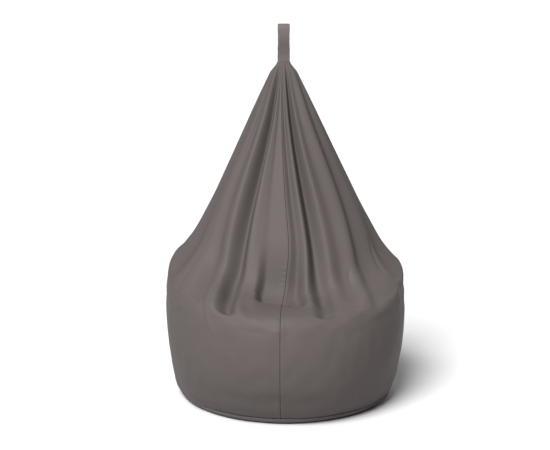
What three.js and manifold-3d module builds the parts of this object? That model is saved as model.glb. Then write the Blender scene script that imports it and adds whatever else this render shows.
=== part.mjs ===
// A teardrop bean bag chair: four wall panels and a base panel sewn into a cover, a carrying handle at its
// apex, a zip in the back seam, and a liner sack full of beads inside.
// Millimetres, +Z up, +Y towards the back, +X to the right of someone facing the chair.
// The origin is the middle of the base, on the floor. Left and right are those of someone facing the chair.
import * as THREE from "three";
import { mergeVertices } from "three/addons/utils/BufferGeometryUtils.js";
import Module from "manifold-3d";

// The cover
const HALF_WIDTH = 325;
const HALF_DEPTH = 345;
const SIDE_ARC = 872; // radius of the upright wall arc at the sides and the back
const FRONT_ARC = 280;
const WIDEST_HEIGHT = 247; // at the sides and the back
const SEAT_WIDEST_HEIGHT = 201; // at the front
const APEX_HEIGHT = 912;
const APEX_BACK = 60; // the apex stands this far behind the middle of the base
const APEX_LEFT = 5; // and this far to the left of it
const APEX_HALF_WIDTH = 24;
const APEX_HALF_DEPTH = 8.5;
const SKIN = 1.5;
const SEAM_GAP = 0.3; // from the middle of a seam to the panel on either side

// The base panel and the seam that joins it to the walls
const SEAM_HEIGHT = 18;
const FLOOR_RADIUS = 250;
const LOWER_ROUND_HEIGHT = 30;
const LOWER_ROUND_DEPTH = 16;
const RIM_TURN = 8; // the base panel has turned up into its rim within this distance
const RIM_GAP = 0.6; // between the rim and the walls above it

// The zip: depths are measured inwards from the outside of the cover
const SLOT_LOW = 54;
const SLOT_HIGH = 398;
const SLOT_TAPER = 12;
const SLOT_HALF_WIDTH = 6.5;
const SLOT_LIP = 22; // the panels follow the zip's own curve this far to each side
const TAPE_WIDTH = 15;
const TAPE_INNER_EDGE = 3.3;
const TAPE_DEPTH = 2.6;
const TAPE_THICKNESS = 0.6;
const TAPE_OVERRUN = 10;
const TEETH_HALF_WIDTH = 3;
const TEETH_DEPTH = 1.7;
const TEETH_THICKNESS = 2.4;
const TEETH_ABOVE_SLOT = 10;
const TOOTH_PITCH = 10;
const TOOTH_REACH = 0.8; // how far a tooth passes the middle of the zip
const TOOTH_GAP = 0.5;
const SLIDER_LENGTH = 12;
const SLIDER_HALF_WIDTH = 5.2;
const SLIDER_CORNER = 2;
const SLIDER_NARROWING = 1.4; // on each side, at the end where the closed teeth come out
const SLIDER_PLATE = 1.5;
const SLIDER_OUTER_DEPTH = -0.2;
const SLIDER_INNER_DEPTH = 4.5;
const SLIDER_BELOW_SLOT_TOP = 16;
const WEDGE_HALF_WIDTH = 2.2;
const WEDGE_START = 1.4; // above the slider's middle
const WEDGE_BLUNTNESS = 1.2;
const STOP_LENGTH = 3;
const STOP_GAP = 0.4;
const GUARD_HALF_WIDTH = 20;
const GUARD_DEPTH = 6.8;

// The handle: a strap folded into a loop, with both ends sewn into the apex
const STRAP_WIDTH = 33;
const STRAP_THICKNESS = 2.2;
const PIVOT_HEIGHT = 919.5;
const LOOP_HEIGHT = 94; // from the pivot to the top of the loop
const LOOP_HALF_DEPTH = 14;
const LOOP_FOOT_RADIUS = 2.6;
const LOOP_FOOT_HEIGHT = 6; // the two legs lie side by side up to here
const LOOP_LEG_GAP = 0.4;
const LOOP_LEG_TENSION = 0.32; // these four are shares of the loop's height
const LOOP_SIDE_TENSION = 0.42;
const LOOP_WIDEST = 0.7;
const LOOP_SHOULDER = 0.9;
const LOOP_TOP_FLATNESS = 0.55;
const ROOT_GAP = 1.2; // leaves room for the loop's foot to turn
const ROOT_LENGTH = 42;

// The liner and its beads
const LINER_DEPTH = 9;
const LINER_SKIN = 2;
const BEAD_DEPTH = 12.5;
const LAYER_GAP = 1; // between the base panel, the liner's bottom and the beads
const HEAP_ROW = 2.55; // the beads fill the cone up to this row
const HEAP_CROWN = 14;
const HEAP_ROUNDING = 0.8; // how much of the crown's height it has half-way in
const HEAP_FLOOR_SHARE = 0.86; // the heap's flat floor, as a share of its width
const NECK_RADIUS = 16;
const NECK_RISE = 60;
const NECK_LENGTH = 26;
const TIE_HEIGHT = 8;
const TIE_GAP = 0.4;
const TIE_THICKNESS = 3;

const LABEL_WIDTH = 34;
const LABEL_ROWS = [1.12, 1.34]; // on the back of the shoulder, just above the zip
const LABEL_LIFT = 1; // from the cover, and from the seam
const LABEL_THICKNESS = 0.5;

// Mesh divisions
const PANEL_COLUMNS = 9;
const WALL_ROWS = 8;
const SHOULDER_ROWS = 6;
const CONE_ROWS = 3;
const ZIP_ROWS = 9;
const LINER_COLUMNS = 10;
const LINER_WALL_ROWS = 4;
const LINER_SHOULDER_ROWS = 4;
const LINER_CONE_ROWS = 2;
const DISH_ROWS = 3;
const LOOP_STEPS = 14;
const FOOT_STEPS = 5;
const RING_POINTS = 8;
const TIE_SEGMENTS = 20;

const TURN = Math.PI * 2;
const QUARTER = Math.PI / 2;
const BACK = Math.PI;
const { lerp, clamp } = THREE.MathUtils;

const wasm = await Module();
wasm.setup();

// A size with one value at the front, one at both sides and one at the back, changing smoothly between them.
function around(front, side, back) {
  return (azimuth) => {
    const facing = Math.cos(azimuth);
    return side + ((front - back) / 2) * facing + ((front + back) / 2 - side) * facing * facing;
  };
}

const widestRadius = around(HALF_DEPTH, HALF_WIDTH, HALF_DEPTH);
const widestHeight = around(SEAT_WIDEST_HEIGHT, WIDEST_HEIGHT, WIDEST_HEIGHT);
const wallCurvature = around(1 / FRONT_ARC, 1 / SIDE_ARC, 1 / SIDE_ARC);
const wallTop = around(262, 335, 415);
const neckHeight = around(315, 448, 505); // where the wide part ends and the cone starts
const neckRadius = around(205, 235, 250);
const shoulderRise = around(50, 25, 35); // how far the wall's own line runs on into the shoulder
const shoulderReach = around(70, 33, 30);
const shoulderDrop = around(-8, 38, 45);

// Azimuth 0 is the front, a quarter turn is the right.
function polar(azimuth, radius, height) {
  return new THREE.Vector3(radius * Math.sin(azimuth), -radius * Math.cos(azimuth), height);
}

function wallRadius(azimuth, height) {
  const arc = 1 / wallCurvature(azimuth);
  const rise = height - widestHeight(azimuth);
  const tuck = Math.max(0, LOWER_ROUND_HEIGHT - height) / LOWER_ROUND_HEIGHT;
  return widestRadius(azimuth) - arc + Math.sqrt(arc * arc - rise * rise) - LOWER_ROUND_DEPTH * tuck * tuck;
}

function wallPoint(azimuth, share) {
  const height = lerp(SEAM_HEIGHT, wallTop(azimuth), share);
  return polar(azimuth, wallRadius(azimuth, height), height);
}

function shoulderPoint(azimuth, share) {
  const top = wallTop(azimuth);
  const radius = wallRadius(azimuth, top);
  const lean = radius - wallRadius(azimuth, top - 1);
  const rise = shoulderRise(azimuth);
  const neck = new THREE.Vector2(neckRadius(azimuth), neckHeight(azimuth));
  const profile = new THREE.CubicBezierCurve(
    new THREE.Vector2(radius, top),
    new THREE.Vector2(radius + lean * rise, top + rise),
    new THREE.Vector2(neck.x + shoulderReach(azimuth), neck.y - shoulderDrop(azimuth)),
    neck,
  );
  const point = profile.getPoint(share);
  return polar(azimuth, point.x, point.y);
}

function conePoint(azimuth, share) {
  const apex = new THREE.Vector3(
    APEX_HALF_WIDTH * Math.sin(azimuth) - APEX_LEFT,
    APEX_BACK - APEX_HALF_DEPTH * Math.cos(azimuth),
    APEX_HEIGHT,
  );
  return polar(azimuth, neckRadius(azimuth), neckHeight(azimuth)).lerp(apex, share);
}

// A point on the outside of the cover. A row runs from 0 to 1 up the wall, to 2 over the shoulder and to 3 up
// the cone.
function outsidePoint(azimuth, row) {
  if (row <= 1) return wallPoint(azimuth, row);
  if (row <= 2) return shoulderPoint(azimuth, row - 1);
  return conePoint(azimuth, row - 2);
}

// The point at a depth under the outside of the cover, measured square to its surface.
function coverPoint(azimuth, row, depth) {
  const step = 1e-3;
  const [low, high] = [Math.max(0, row - step), Math.min(3, row + step)];
  const sideways = outsidePoint(azimuth + step, row).sub(outsidePoint(azimuth - step, row));
  const upwards = outsidePoint(azimuth, high).sub(outsidePoint(azimuth, low));
  return outsidePoint(azimuth, row).addScaledVector(sideways.cross(upwards).normalize(), -depth);
}

// The angle that a distance along the surface takes up at a row.
function angleOf(distance, azimuth, row) {
  const step = 1e-3;
  const span = outsidePoint(azimuth + step, row).distanceTo(outsidePoint(azimuth - step, row));
  return (distance * 2 * step) / span;
}

// How far each back panel stops short of the back seam: the two part to let the zip show.
function backGap(row) {
  const height = outsidePoint(BACK, row).z;
  const inside = Math.min(height - SLOT_LOW, SLOT_HIGH - height) / SLOT_TAPER;
  return lerp(SEAM_GAP, SLOT_HALF_WIDTH, clamp(1 + inside, 0, 1));
}

// A box with its own divisions, bent by a function of three coordinates that each run from 0 to 1.
function bentBox(columns, rows, place) {
  const geometry = new THREE.BoxGeometry(1, 1, 1, columns, rows, 1);
  const position = geometry.getAttribute("position");
  for (let i = 0; i < position.count; i++) {
    const point = place(position.getX(i) + 0.5, position.getY(i) + 0.5, position.getZ(i) + 0.5);
    position.setXYZ(i, point.x, point.y, point.z);
  }
  return geometry;
}

// A lathe whose every point is placed by a function of its azimuth and its number along the profile.
function bentLathe(segments, count, place) {
  const isEnd = (j) => j % (count - 1) === 0;
  const profile = Array.from({ length: count }, (_, j) => new THREE.Vector2(isEnd(j) ? 0 : 1, j));
  const geometry = new THREE.LatheGeometry(profile, segments);
  const position = geometry.getAttribute("position");
  for (let i = 0; i < position.count; i++) {
    const azimuth = (TURN * (Math.floor(i / count) % segments)) / segments;
    const point = place(azimuth, i % count);
    position.setXYZ(i, point.x, point.y, point.z);
  }
  return geometry;
}

function shares(count, from, to) {
  return Array.from({ length: count }, (_, i) => lerp(from, to, (i + 1) / count));
}

const slotEnds = [SLOT_LOW - SLOT_TAPER, SLOT_LOW, SLOT_HIGH, SLOT_HIGH + SLOT_TAPER].map(
  (height) => (height - SEAM_HEIGHT) / (wallTop(BACK) - SEAM_HEIGHT),
);
const wallRows = [0, ...shares(WALL_ROWS, slotEnds[1], slotEnds[2]), ...slotEnds, 1].sort((a, b) => a - b);
const coverRows = [...wallRows, ...shares(SHOULDER_ROWS, 1, 2), ...shares(CONE_ROWS, 2, 3)];

// One of the four wall panels, from one seam to the next. Both back panels keep to the zip's curve beside it.
function wallPanel(quarter) {
  const [start, end] = [quarter * QUARTER, (quarter + 1) * QUARTER];
  const rows = coverRows.length - 1;
  return bentBox(PANEL_COLUMNS, rows, (u, v, w) => {
    const row = coverRows[Math.round(v * rows)];
    const column = Math.round(u * PANEL_COLUMNS);
    const fromBack = start === BACK ? column : PANEL_COLUMNS - column;
    const besideZip = start === BACK || end === BACK;
    const first = start + angleOf(start === BACK ? backGap(row) : SEAM_GAP, start, row);
    const last = end - angleOf(end === BACK ? backGap(row) : SEAM_GAP, end, row);
    if (!besideZip) return coverPoint(lerp(first, last, u), row, SKIN * (1 - w));
    const seam = start === BACK ? first : last;
    const far = start === BACK ? last : first;
    const lip = BACK + Math.sign(far - seam) * angleOf(SLOT_LIP, BACK, row);
    const azimuth = fromBack === 0 ? seam : lerp(lip, far, (fromBack - 1) / (PANEL_COLUMNS - 1));
    return coverPoint(azimuth, row, SKIN * (1 - w));
  });
}

// A shallow round dish with a turned-up rim, for the base panel and for the bottom of the liner.
function dish(floorHeight, floorRadius, rimDepth, skin, segments) {
  const rimAt = (azimuth) => coverPoint(azimuth, 0, rimDepth);
  const count = 2 * (DISH_ROWS + 1) + 2;
  return bentLathe(segments, count, (azimuth, j) => {
    const upper = j > DISH_ROWS + 1;
    if (j === 0 || j === count - 1) return new THREE.Vector3(0, 0, floorHeight + (upper ? skin : 0));
    const rim = rimAt(azimuth);
    const reach = Math.hypot(rim.x, rim.y);
    const lip = new THREE.Vector2(reach, rim.z - RIM_GAP);
    const flat = (floorRadius * reach) / Math.abs(rimAt(QUARTER).x);
    const edge = new THREE.QuadraticBezierCurve(
      new THREE.Vector2(flat, floorHeight),
      new THREE.Vector2(reach - RIM_TURN, floorHeight),
      lip,
    );
    const share = (upper ? count - 2 - j : j - 1) / DISH_ROWS;
    const point = edge.getPoint(share);
    if (!upper) return polar(azimuth, point.x, point.y);
    const tilt = edge.getTangent(share);
    return polar(azimuth, point.x - skin * tilt.y, point.y + skin * tilt.x);
  });
}

// A point of the zip: an angle up the back wall's arc, a distance to the right, and a depth under the cover.
const ARC_CENTRE_Y = HALF_DEPTH - SIDE_ARC;
function zipPoint(angle, sideways, depth) {
  const radius = SIDE_ARC - depth;
  return new THREE.Vector3(
    sideways,
    ARC_CENTRE_Y + radius * Math.cos(angle),
    WIDEST_HEIGHT + radius * Math.sin(angle),
  );
}

const zipAngleAt = (height) => Math.asin((height - WIDEST_HEIGHT) / SIDE_ARC);
const zipAngleOf = (length) => length / SIDE_ARC;
const SLIDER_REST = zipAngleAt(SLOT_HIGH - SLIDER_BELOW_SLOT_TOP);
const TEETH_LOW = zipAngleAt(SLOT_LOW + TEETH_ABOVE_SLOT);
const TEETH_HIGH = SLIDER_REST + zipAngleOf(1);

// A strip that follows the zip, between two distances to the right of it.
function zipStrip(left, right, depth, thickness, low, high, rows) {
  return bentBox(1, rows, (u, v, w) =>
    zipPoint(lerp(low, high, v), lerp(right, left, u), depth + thickness * (1 - w)),
  );
}

// One side's row of teeth. Its inner edge is a zigzag that lies in the other side's.
function zipTeeth(side) {
  const rows = 2 * Math.floor(((TEETH_HIGH - TEETH_LOW) * SIDE_ARC) / TOOTH_PITCH);
  return bentBox(1, rows, (u, v, w) => {
    const crest = Math.round(v * rows) % 2 === 0 ? -TOOTH_REACH : TOOTH_REACH;
    const inner = crest + side * TOOTH_GAP;
    const outer = side * TEETH_HALF_WIDTH;
    const [left, right] = side > 0 ? [inner, outer] : [outer, inner];
    const depth = TEETH_DEPTH + TEETH_THICKNESS * (1 - w);
    return zipPoint(lerp(TEETH_LOW, TEETH_HIGH, v), lerp(right, left, u), depth);
  });
}

function asSolid(geometry) {
  const bare = geometry.clone();
  bare.deleteAttribute("normal");
  bare.deleteAttribute("uv");
  const merged = mergeVertices(bare);
  return new wasm.Manifold(
    new wasm.Mesh({
      numProp: 3,
      vertProperties: new Float32Array(merged.getAttribute("position").array),
      triVerts: new Uint32Array(merged.index.array),
    }),
  );
}

function asGeometry(solid) {
  const mesh = solid.getMesh();
  const geometry = new THREE.BufferGeometry();
  geometry.setAttribute("position", new THREE.BufferAttribute(new Float32Array(mesh.vertProperties), 3));
  geometry.setIndex(new THREE.BufferAttribute(new Uint32Array(mesh.triVerts), 1));
  return geometry;
}

function plate(outline, thickness) {
  return new THREE.ExtrudeGeometry(outline, { depth: thickness, bevelEnabled: false, curveSegments: 3 });
}

// The slider, lying flat: X across the zip, Y along it, Z out of it. The wedge joins its two plates.
function sliderSolid() {
  const [half, end, round] = [SLIDER_HALF_WIDTH, SLIDER_LENGTH / 2, SLIDER_CORNER];
  const outline = new THREE.Shape();
  outline.moveTo(-half + SLIDER_NARROWING, -end);
  outline.lineTo(half - SLIDER_NARROWING, -end);
  outline.lineTo(half, end - round);
  outline.absarc(half - round, end - round, round, 0, QUARTER, false);
  outline.absarc(-half + round, end - round, round, QUARTER, 2 * QUARTER, false);
  const wedge = new THREE.Shape();
  wedge.moveTo(0, WEDGE_START);
  wedge.lineTo(WEDGE_HALF_WIDTH, end - WEDGE_BLUNTNESS);
  wedge.lineTo(0, end);
  wedge.lineTo(-WEDGE_HALF_WIDTH, end - WEDGE_BLUNTNESS);
  const outer = plate(outline, SLIDER_PLATE).translate(0, 0, -SLIDER_OUTER_DEPTH - SLIDER_PLATE);
  const inner = plate(outline, SLIDER_PLATE).translate(0, 0, -SLIDER_INNER_DEPTH - SLIDER_PLATE);
  const rise = SLIDER_INNER_DEPTH - SLIDER_OUTER_DEPTH;
  const post = plate(wedge, rise).translate(0, 0, -SLIDER_INNER_DEPTH - SLIDER_PLATE / 2);
  return asGeometry(asSolid(outer).add(asSolid(inner)).add(asSolid(post)));
}

// Half of the middle line of the strap's loop, from the foot at 0 to the top at 1: x is depth, y is height.
const legDepth = (STRAP_THICKNESS + LOOP_LEG_GAP) / 2;
const sideDepth = LOOP_HALF_DEPTH - STRAP_THICKNESS / 2;
const loopTop = LOOP_HEIGHT - STRAP_THICKNESS / 2;
const loopLine = new THREE.CurvePath();
loopLine.add(
  new THREE.CubicBezierCurve(
    new THREE.Vector2(legDepth, LOOP_FOOT_HEIGHT),
    new THREE.Vector2(legDepth, LOOP_HEIGHT * LOOP_LEG_TENSION),
    new THREE.Vector2(sideDepth, LOOP_HEIGHT * LOOP_SIDE_TENSION),
    new THREE.Vector2(sideDepth, LOOP_HEIGHT * LOOP_WIDEST),
  ),
);
loopLine.add(
  new THREE.CubicBezierCurve(
    new THREE.Vector2(sideDepth, LOOP_HEIGHT * LOOP_WIDEST),
    new THREE.Vector2(sideDepth, LOOP_HEIGHT * LOOP_SHOULDER),
    new THREE.Vector2(LOOP_HALF_DEPTH * LOOP_TOP_FLATNESS, loopTop),
    new THREE.Vector2(0, loopTop),
  ),
);

function loopPoint(share, outwards) {
  const point = loopLine.getPointAt(share);
  const along = loopLine.getTangentAt(share);
  return new THREE.Vector2(point.x + along.y * outwards, point.y - along.x * outwards);
}

function bothSides(half) {
  const mirrored = half.slice(0, -1).map((p) => new THREE.Vector2(-p.x, p.y));
  return [...half, ...mirrored.reverse()];
}

function handleLoop() {
  const half = STRAP_THICKNESS / 2;
  const steps = [0, ...shares(LOOP_STEPS, 0, 1)];
  const foot = Array.from({ length: FOOT_STEPS }, (_, i) => {
    const angle = -QUARTER + ((i + 0.5) / FOOT_STEPS) * QUARTER;
    return new THREE.Vector2(LOOP_FOOT_RADIUS * Math.cos(angle), LOOP_FOOT_RADIUS * Math.sin(angle));
  });
  const outline = new THREE.Shape(bothSides([...foot, ...steps.map((share) => loopPoint(share, half))]));
  const isOpen = (point) => point.x > LOOP_LEG_GAP || point.y > LOOP_HEIGHT / 2;
  const inner = steps.map((share) => loopPoint(share, -half)).filter(isOpen);
  outline.holes.push(new THREE.Path(bothSides(inner)));
  const geometry = new THREE.ExtrudeGeometry(outline, { depth: STRAP_WIDTH, bevelEnabled: false });
  geometry.translate(0, 0, -STRAP_WIDTH / 2);
  // The outline's x becomes +Y, its y becomes +Z, and the extrusion becomes +X.
  return geometry.applyMatrix4(new THREE.Matrix4().set(0, 0, 1, 0, 1, 0, 0, 0, 0, 1, 0, 0, 0, 0, 0, 1));
}

const linerRows = [
  ...[0, ...shares(LINER_WALL_ROWS, 0, 1)],
  ...shares(LINER_SHOULDER_ROWS, 1, 2),
  ...shares(LINER_CONE_ROWS, 2, HEAP_ROW),
];
const heapRing = Array.from({ length: RING_POINTS }, (_, i) =>
  coverPoint((i / RING_POINTS) * TURN, HEAP_ROW, LINER_DEPTH),
);
const heapSum = heapRing.reduce((sum, point) => sum.add(point), new THREE.Vector3());
const heapMiddle = heapSum.divideScalar(RING_POINTS);

// The liner's sides follow the cover, close in over the beads and end in an upright gathered neck.
function linerHalf(start) {
  const rows = linerRows.length + 1;
  return bentBox(LINER_COLUMNS, rows, (u, v, w) => {
    const j = Math.round(v * rows);
    const inset = LINER_SKIN * (1 - w);
    const row = linerRows[Math.min(j, linerRows.length - 1)];
    const onNeck = j >= linerRows.length;
    const gap = onNeck ? SEAM_GAP / NECK_RADIUS : angleOf(SEAM_GAP, start, row);
    const azimuth = lerp(start + gap, start + BACK - gap, u);
    if (!onNeck) return coverPoint(azimuth, row, LINER_DEPTH + inset);
    const height = heapMiddle.z + NECK_RISE + (j - linerRows.length) * NECK_LENGTH;
    return polar(azimuth, NECK_RADIUS - inset, height).add(new THREE.Vector3(0, heapMiddle.y, 0));
  });
}

function neckTie() {
  const inner = NECK_RADIUS + TIE_GAP;
  const outer = inner + TIE_THICKNESS;
  const profile = [
    new THREE.Vector2(inner, 0),
    new THREE.Vector2(outer, 0),
    new THREE.Vector2(outer, TIE_HEIGHT),
    new THREE.Vector2(inner, TIE_HEIGHT),
    new THREE.Vector2(inner, 0),
  ];
  return new THREE.LatheGeometry(profile, TIE_SEGMENTS).rotateX(QUARTER);
}

function beadFill() {
  const floor = SKIN + LAYER_GAP + LINER_SKIN + LAYER_GAP;
  const count = linerRows.length + 4;
  const top = heapMiddle.clone().setZ(heapMiddle.z + HEAP_CROWN);
  return bentLathe(2 * LINER_COLUMNS, count, (azimuth, j) => {
    if (j === 0) return new THREE.Vector3(0, 0, floor);
    if (j === count - 1) return top;
    const row = linerRows[clamp(j - 2, 0, linerRows.length - 1)];
    const edge = coverPoint(azimuth, row, BEAD_DEPTH);
    if (j === 1) return polar(azimuth, Math.hypot(edge.x, edge.y) * HEAP_FLOOR_SHARE, floor);
    if (j === count - 2) return edge.lerp(top, 0.5).setZ(lerp(edge.z, top.z, HEAP_ROUNDING));
    return edge;
  });
}

// A blank care label that sticks out of the back seam and lies over the right-hand back panel.
function careLabel() {
  return bentBox(4, 2, (u, v, w) => {
    const row = lerp(...LABEL_ROWS, v);
    const azimuth = BACK - angleOf(LABEL_LIFT + (1 - u) * LABEL_WIDTH, BACK, row);
    return coverPoint(azimuth, row, -LABEL_LIFT - LABEL_THICKNESS * w);
  });
}

const finishes = {
  cover: new THREE.MeshStandardMaterial({ color: 0x645d5b, roughness: 0.5, metalness: 0 }),
  strap: new THREE.MeshStandardMaterial({ color: 0x746c6a, roughness: 0.5, metalness: 0 }),
  zip: new THREE.MeshStandardMaterial({ color: 0x3f3b3a, roughness: 0.55, metalness: 0 }),
  tape: new THREE.MeshStandardMaterial({ color: 0x4a4544, roughness: 0.95, metalness: 0 }),
  metal: new THREE.MeshStandardMaterial({ color: 0x4a4745, roughness: 0.35, metalness: 1 }),
  liner: new THREE.MeshStandardMaterial({ color: 0xe9e7e2, roughness: 0.9, metalness: 0 }),
  beads: new THREE.MeshStandardMaterial({ color: 0xf6f6f4, roughness: 0.8, metalness: 0 }),
};

const chair = new THREE.Group();

function addPiece(name, finish, geometry, parent = chair) {
  const piece = new THREE.Mesh(geometry, finishes[finish].clone());
  piece.name = name;
  parent.add(piece);
  return piece;
}

const panelNames = ["front_right_panel", "back_right_panel", "back_left_panel", "front_left_panel"];
panelNames.forEach((name, quarter) => addPiece(name, "cover", wallPanel(quarter)));
addPiece("base_panel", "cover", dish(0, FLOOR_RADIUS, 0, SKIN, 4 * PANEL_COLUMNS));

const tapeAngles = [zipAngleAt(SLOT_LOW - TAPE_OVERRUN), zipAngleAt(SLOT_HIGH + TAPE_OVERRUN)];
const topStopLow = SLIDER_REST + zipAngleOf(SLIDER_LENGTH / 2 + STOP_GAP);
const topStopAngles = [topStopLow, topStopLow + zipAngleOf(STOP_LENGTH)];
const bottomStopHigh = TEETH_LOW - zipAngleOf(STOP_GAP);
const bottomStopAngles = [bottomStopHigh - zipAngleOf(STOP_LENGTH), bottomStopHigh];

// A strip on one side of the zip, from its near edge to its far edge.
function sideStrip(side, near, far, ...rest) {
  return zipStrip(Math.min(side * near, side * far), Math.max(side * near, side * far), ...rest);
}

for (const side of [-1, 1]) {
  const word = side < 0 ? "left" : "right";
  const tape = [TAPE_INNER_EDGE, TAPE_WIDTH, TAPE_DEPTH, TAPE_THICKNESS, ...tapeAngles, ZIP_ROWS];
  const stop = [STOP_GAP, TEETH_HALF_WIDTH, TEETH_DEPTH, TEETH_THICKNESS, ...topStopAngles, 1];
  addPiece(`zip_tape_${word}`, "tape", sideStrip(side, ...tape));
  addPiece(`zip_teeth_${word}`, "zip", zipTeeth(side));
  addPiece(`zip_top_stop_${word}`, "metal", sideStrip(side, ...stop));
}
const bottomStop = [-TEETH_HALF_WIDTH, TEETH_HALF_WIDTH, TEETH_DEPTH, TEETH_THICKNESS];
const guard = [-GUARD_HALF_WIDTH, GUARD_HALF_WIDTH, GUARD_DEPTH, TAPE_THICKNESS, ...tapeAngles, ZIP_ROWS];
addPiece("zip_bottom_stop", "metal", zipStrip(...bottomStop, ...bottomStopAngles, 1));
addPiece("zip_guard", "tape", zipStrip(...guard));

const slider = addPiece("zip_slider", "metal", sliderSolid());
slider.position.copy(zipPoint(SLIDER_REST, 0, 0));
const upTheZip = new THREE.Vector3(0, -Math.sin(SLIDER_REST), Math.cos(SLIDER_REST));
const outOfTheBack = new THREE.Vector3(0, Math.cos(SLIDER_REST), Math.sin(SLIDER_REST));
const toTheLeft = new THREE.Vector3(-1, 0, 0);
slider.setRotationFromMatrix(new THREE.Matrix4().makeBasis(toTheLeft, upTheZip, outOfTheBack));

const handle = new THREE.Group();
handle.position.set(-APEX_LEFT, APEX_BACK, PIVOT_HEIGHT);
chair.add(handle);
addPiece("handle_loop", "strap", handleLoop(), handle);
const rootDepth = 2 * STRAP_THICKNESS + LOOP_LEG_GAP;
const rootBox = new THREE.BoxGeometry(STRAP_WIDTH, rootDepth, ROOT_LENGTH);
const root = addPiece("handle_root", "strap", rootBox, handle);
root.position.z = -LOOP_FOOT_RADIUS - ROOT_GAP - ROOT_LENGTH / 2;

addPiece("liner_front", "liner", linerHalf(-QUARTER));
addPiece("liner_back", "liner", linerHalf(QUARTER));
const linerFloor = [SKIN + LAYER_GAP, FLOOR_RADIUS - LINER_DEPTH, LINER_DEPTH];
addPiece("liner_base", "liner", dish(...linerFloor, LINER_SKIN, 2 * LINER_COLUMNS));
const tie = addPiece("liner_tie", "tape", neckTie());
tie.position.set(0, heapMiddle.y, heapMiddle.z + NECK_RISE + NECK_LENGTH / 3);
addPiece("bead_fill", "beads", beadFill());
addPiece("care_label", "liner", careLabel());

export default chair;
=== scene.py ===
"""The looks of a teardrop bean bag chair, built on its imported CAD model. Metres, +Z up, -Y is front."""

import math

import bmesh
import bpy
import numpy as np
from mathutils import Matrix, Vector


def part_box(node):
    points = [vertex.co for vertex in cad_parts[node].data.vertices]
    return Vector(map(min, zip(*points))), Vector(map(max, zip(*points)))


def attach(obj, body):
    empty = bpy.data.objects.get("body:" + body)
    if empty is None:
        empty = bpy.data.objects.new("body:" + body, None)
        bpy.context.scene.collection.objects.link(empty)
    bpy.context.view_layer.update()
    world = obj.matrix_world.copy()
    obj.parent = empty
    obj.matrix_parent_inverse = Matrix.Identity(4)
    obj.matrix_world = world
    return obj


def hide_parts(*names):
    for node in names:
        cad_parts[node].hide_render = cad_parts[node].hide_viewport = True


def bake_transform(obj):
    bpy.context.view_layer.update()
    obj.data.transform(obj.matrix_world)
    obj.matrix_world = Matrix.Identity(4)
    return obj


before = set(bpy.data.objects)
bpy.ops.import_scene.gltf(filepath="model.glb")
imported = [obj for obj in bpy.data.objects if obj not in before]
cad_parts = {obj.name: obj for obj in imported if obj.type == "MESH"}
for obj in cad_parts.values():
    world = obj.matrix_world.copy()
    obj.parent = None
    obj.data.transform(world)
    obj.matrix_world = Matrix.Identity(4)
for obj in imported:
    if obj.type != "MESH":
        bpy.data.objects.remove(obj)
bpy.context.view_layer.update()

MM = 0.001
QUARTER = math.pi / 2


# ---- cover shape ----
# The same driving sizes as the CAD model. Azimuth 0 is the front, a quarter turn is the right.
HALF_WIDTH, HALF_DEPTH = 0.325, 0.345
SIDE_ARC, FRONT_ARC = 0.872, 0.280
WIDEST_HEIGHT, SEAT_WIDEST_HEIGHT = 0.247, 0.201
SEAM_HEIGHT = 0.018
LOWER_ROUND_HEIGHT, LOWER_ROUND_DEPTH = 0.030, 0.016
APEX_HEIGHT, APEX_BACK, APEX_LEFT = 0.912, 0.060, 0.005
APEX_HALF_WIDTH, APEX_HALF_DEPTH = 0.024, 0.0085

# The right shoulder has sagged below the left one.
RIGHT_SAG, RIGHT_SPREAD = 0.034, 0.020

# The top of the cone is gathered round the handle's strap.
GATHER_WIDTH, GATHER_DEPTH = 0.72, 0.58
GATHER_LENGTH = 0.030

# The soft turn from the cone onto the seat.
TURN_FRONT, TURN_BACK = 0.036, 0.016
TURN_REACH = 0.11
KERNEL_REACH, KERNEL_POINTS = 2.4, 17
CONE_LENGTH = 0.65  # at the front


def around(front, side, back):
    """A size with one value at the front, one at the sides and one at the back, changing smoothly between."""
    def size(azimuth):
        facing = np.cos(azimuth)
        return side + (front - back) / 2 * facing + ((front + back) / 2 - side) * facing**2
    return size


widest_radius = around(HALF_DEPTH, HALF_WIDTH, HALF_DEPTH)
widest_height = around(SEAT_WIDEST_HEIGHT, WIDEST_HEIGHT, WIDEST_HEIGHT)
wall_curvature = around(1 / FRONT_ARC, 1 / SIDE_ARC, 1 / SIDE_ARC)
wall_top = around(0.262, 0.335, 0.415)
even_neck_height = around(0.315, 0.448, 0.505)
even_neck_radius = around(0.205, 0.235, 0.250)
shoulder_rise = around(0.050, 0.025, 0.035)
shoulder_reach = around(0.070, 0.033, 0.030)
shoulder_drop = around(-0.008, 0.038, 0.045)


def to_the_right(azimuth):
    return np.maximum(0, np.sin(azimuth))**2


def neck_height(azimuth):
    return even_neck_height(azimuth) - RIGHT_SAG * to_the_right(azimuth)


def neck_radius(azimuth):
    return even_neck_radius(azimuth) + RIGHT_SPREAD * to_the_right(azimuth)


def wall_radius(azimuth, height):
    arc = 1 / wall_curvature(azimuth)
    rise = height - widest_height(azimuth)
    tuck = np.maximum(0, LOWER_ROUND_HEIGHT - height) / LOWER_ROUND_HEIGHT
    return widest_radius(azimuth) - arc + np.sqrt(arc**2 - rise**2) - LOWER_ROUND_DEPTH * tuck**2


def polar(azimuth, radius, height):
    return np.stack([radius * np.sin(azimuth), -radius * np.cos(azimuth), height + 0 * azimuth], -1)


def ease(x):
    x = np.clip(x, 0, 1)
    return x * x * (3 - 2 * x)


PROFILE_STEPS = 120


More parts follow.
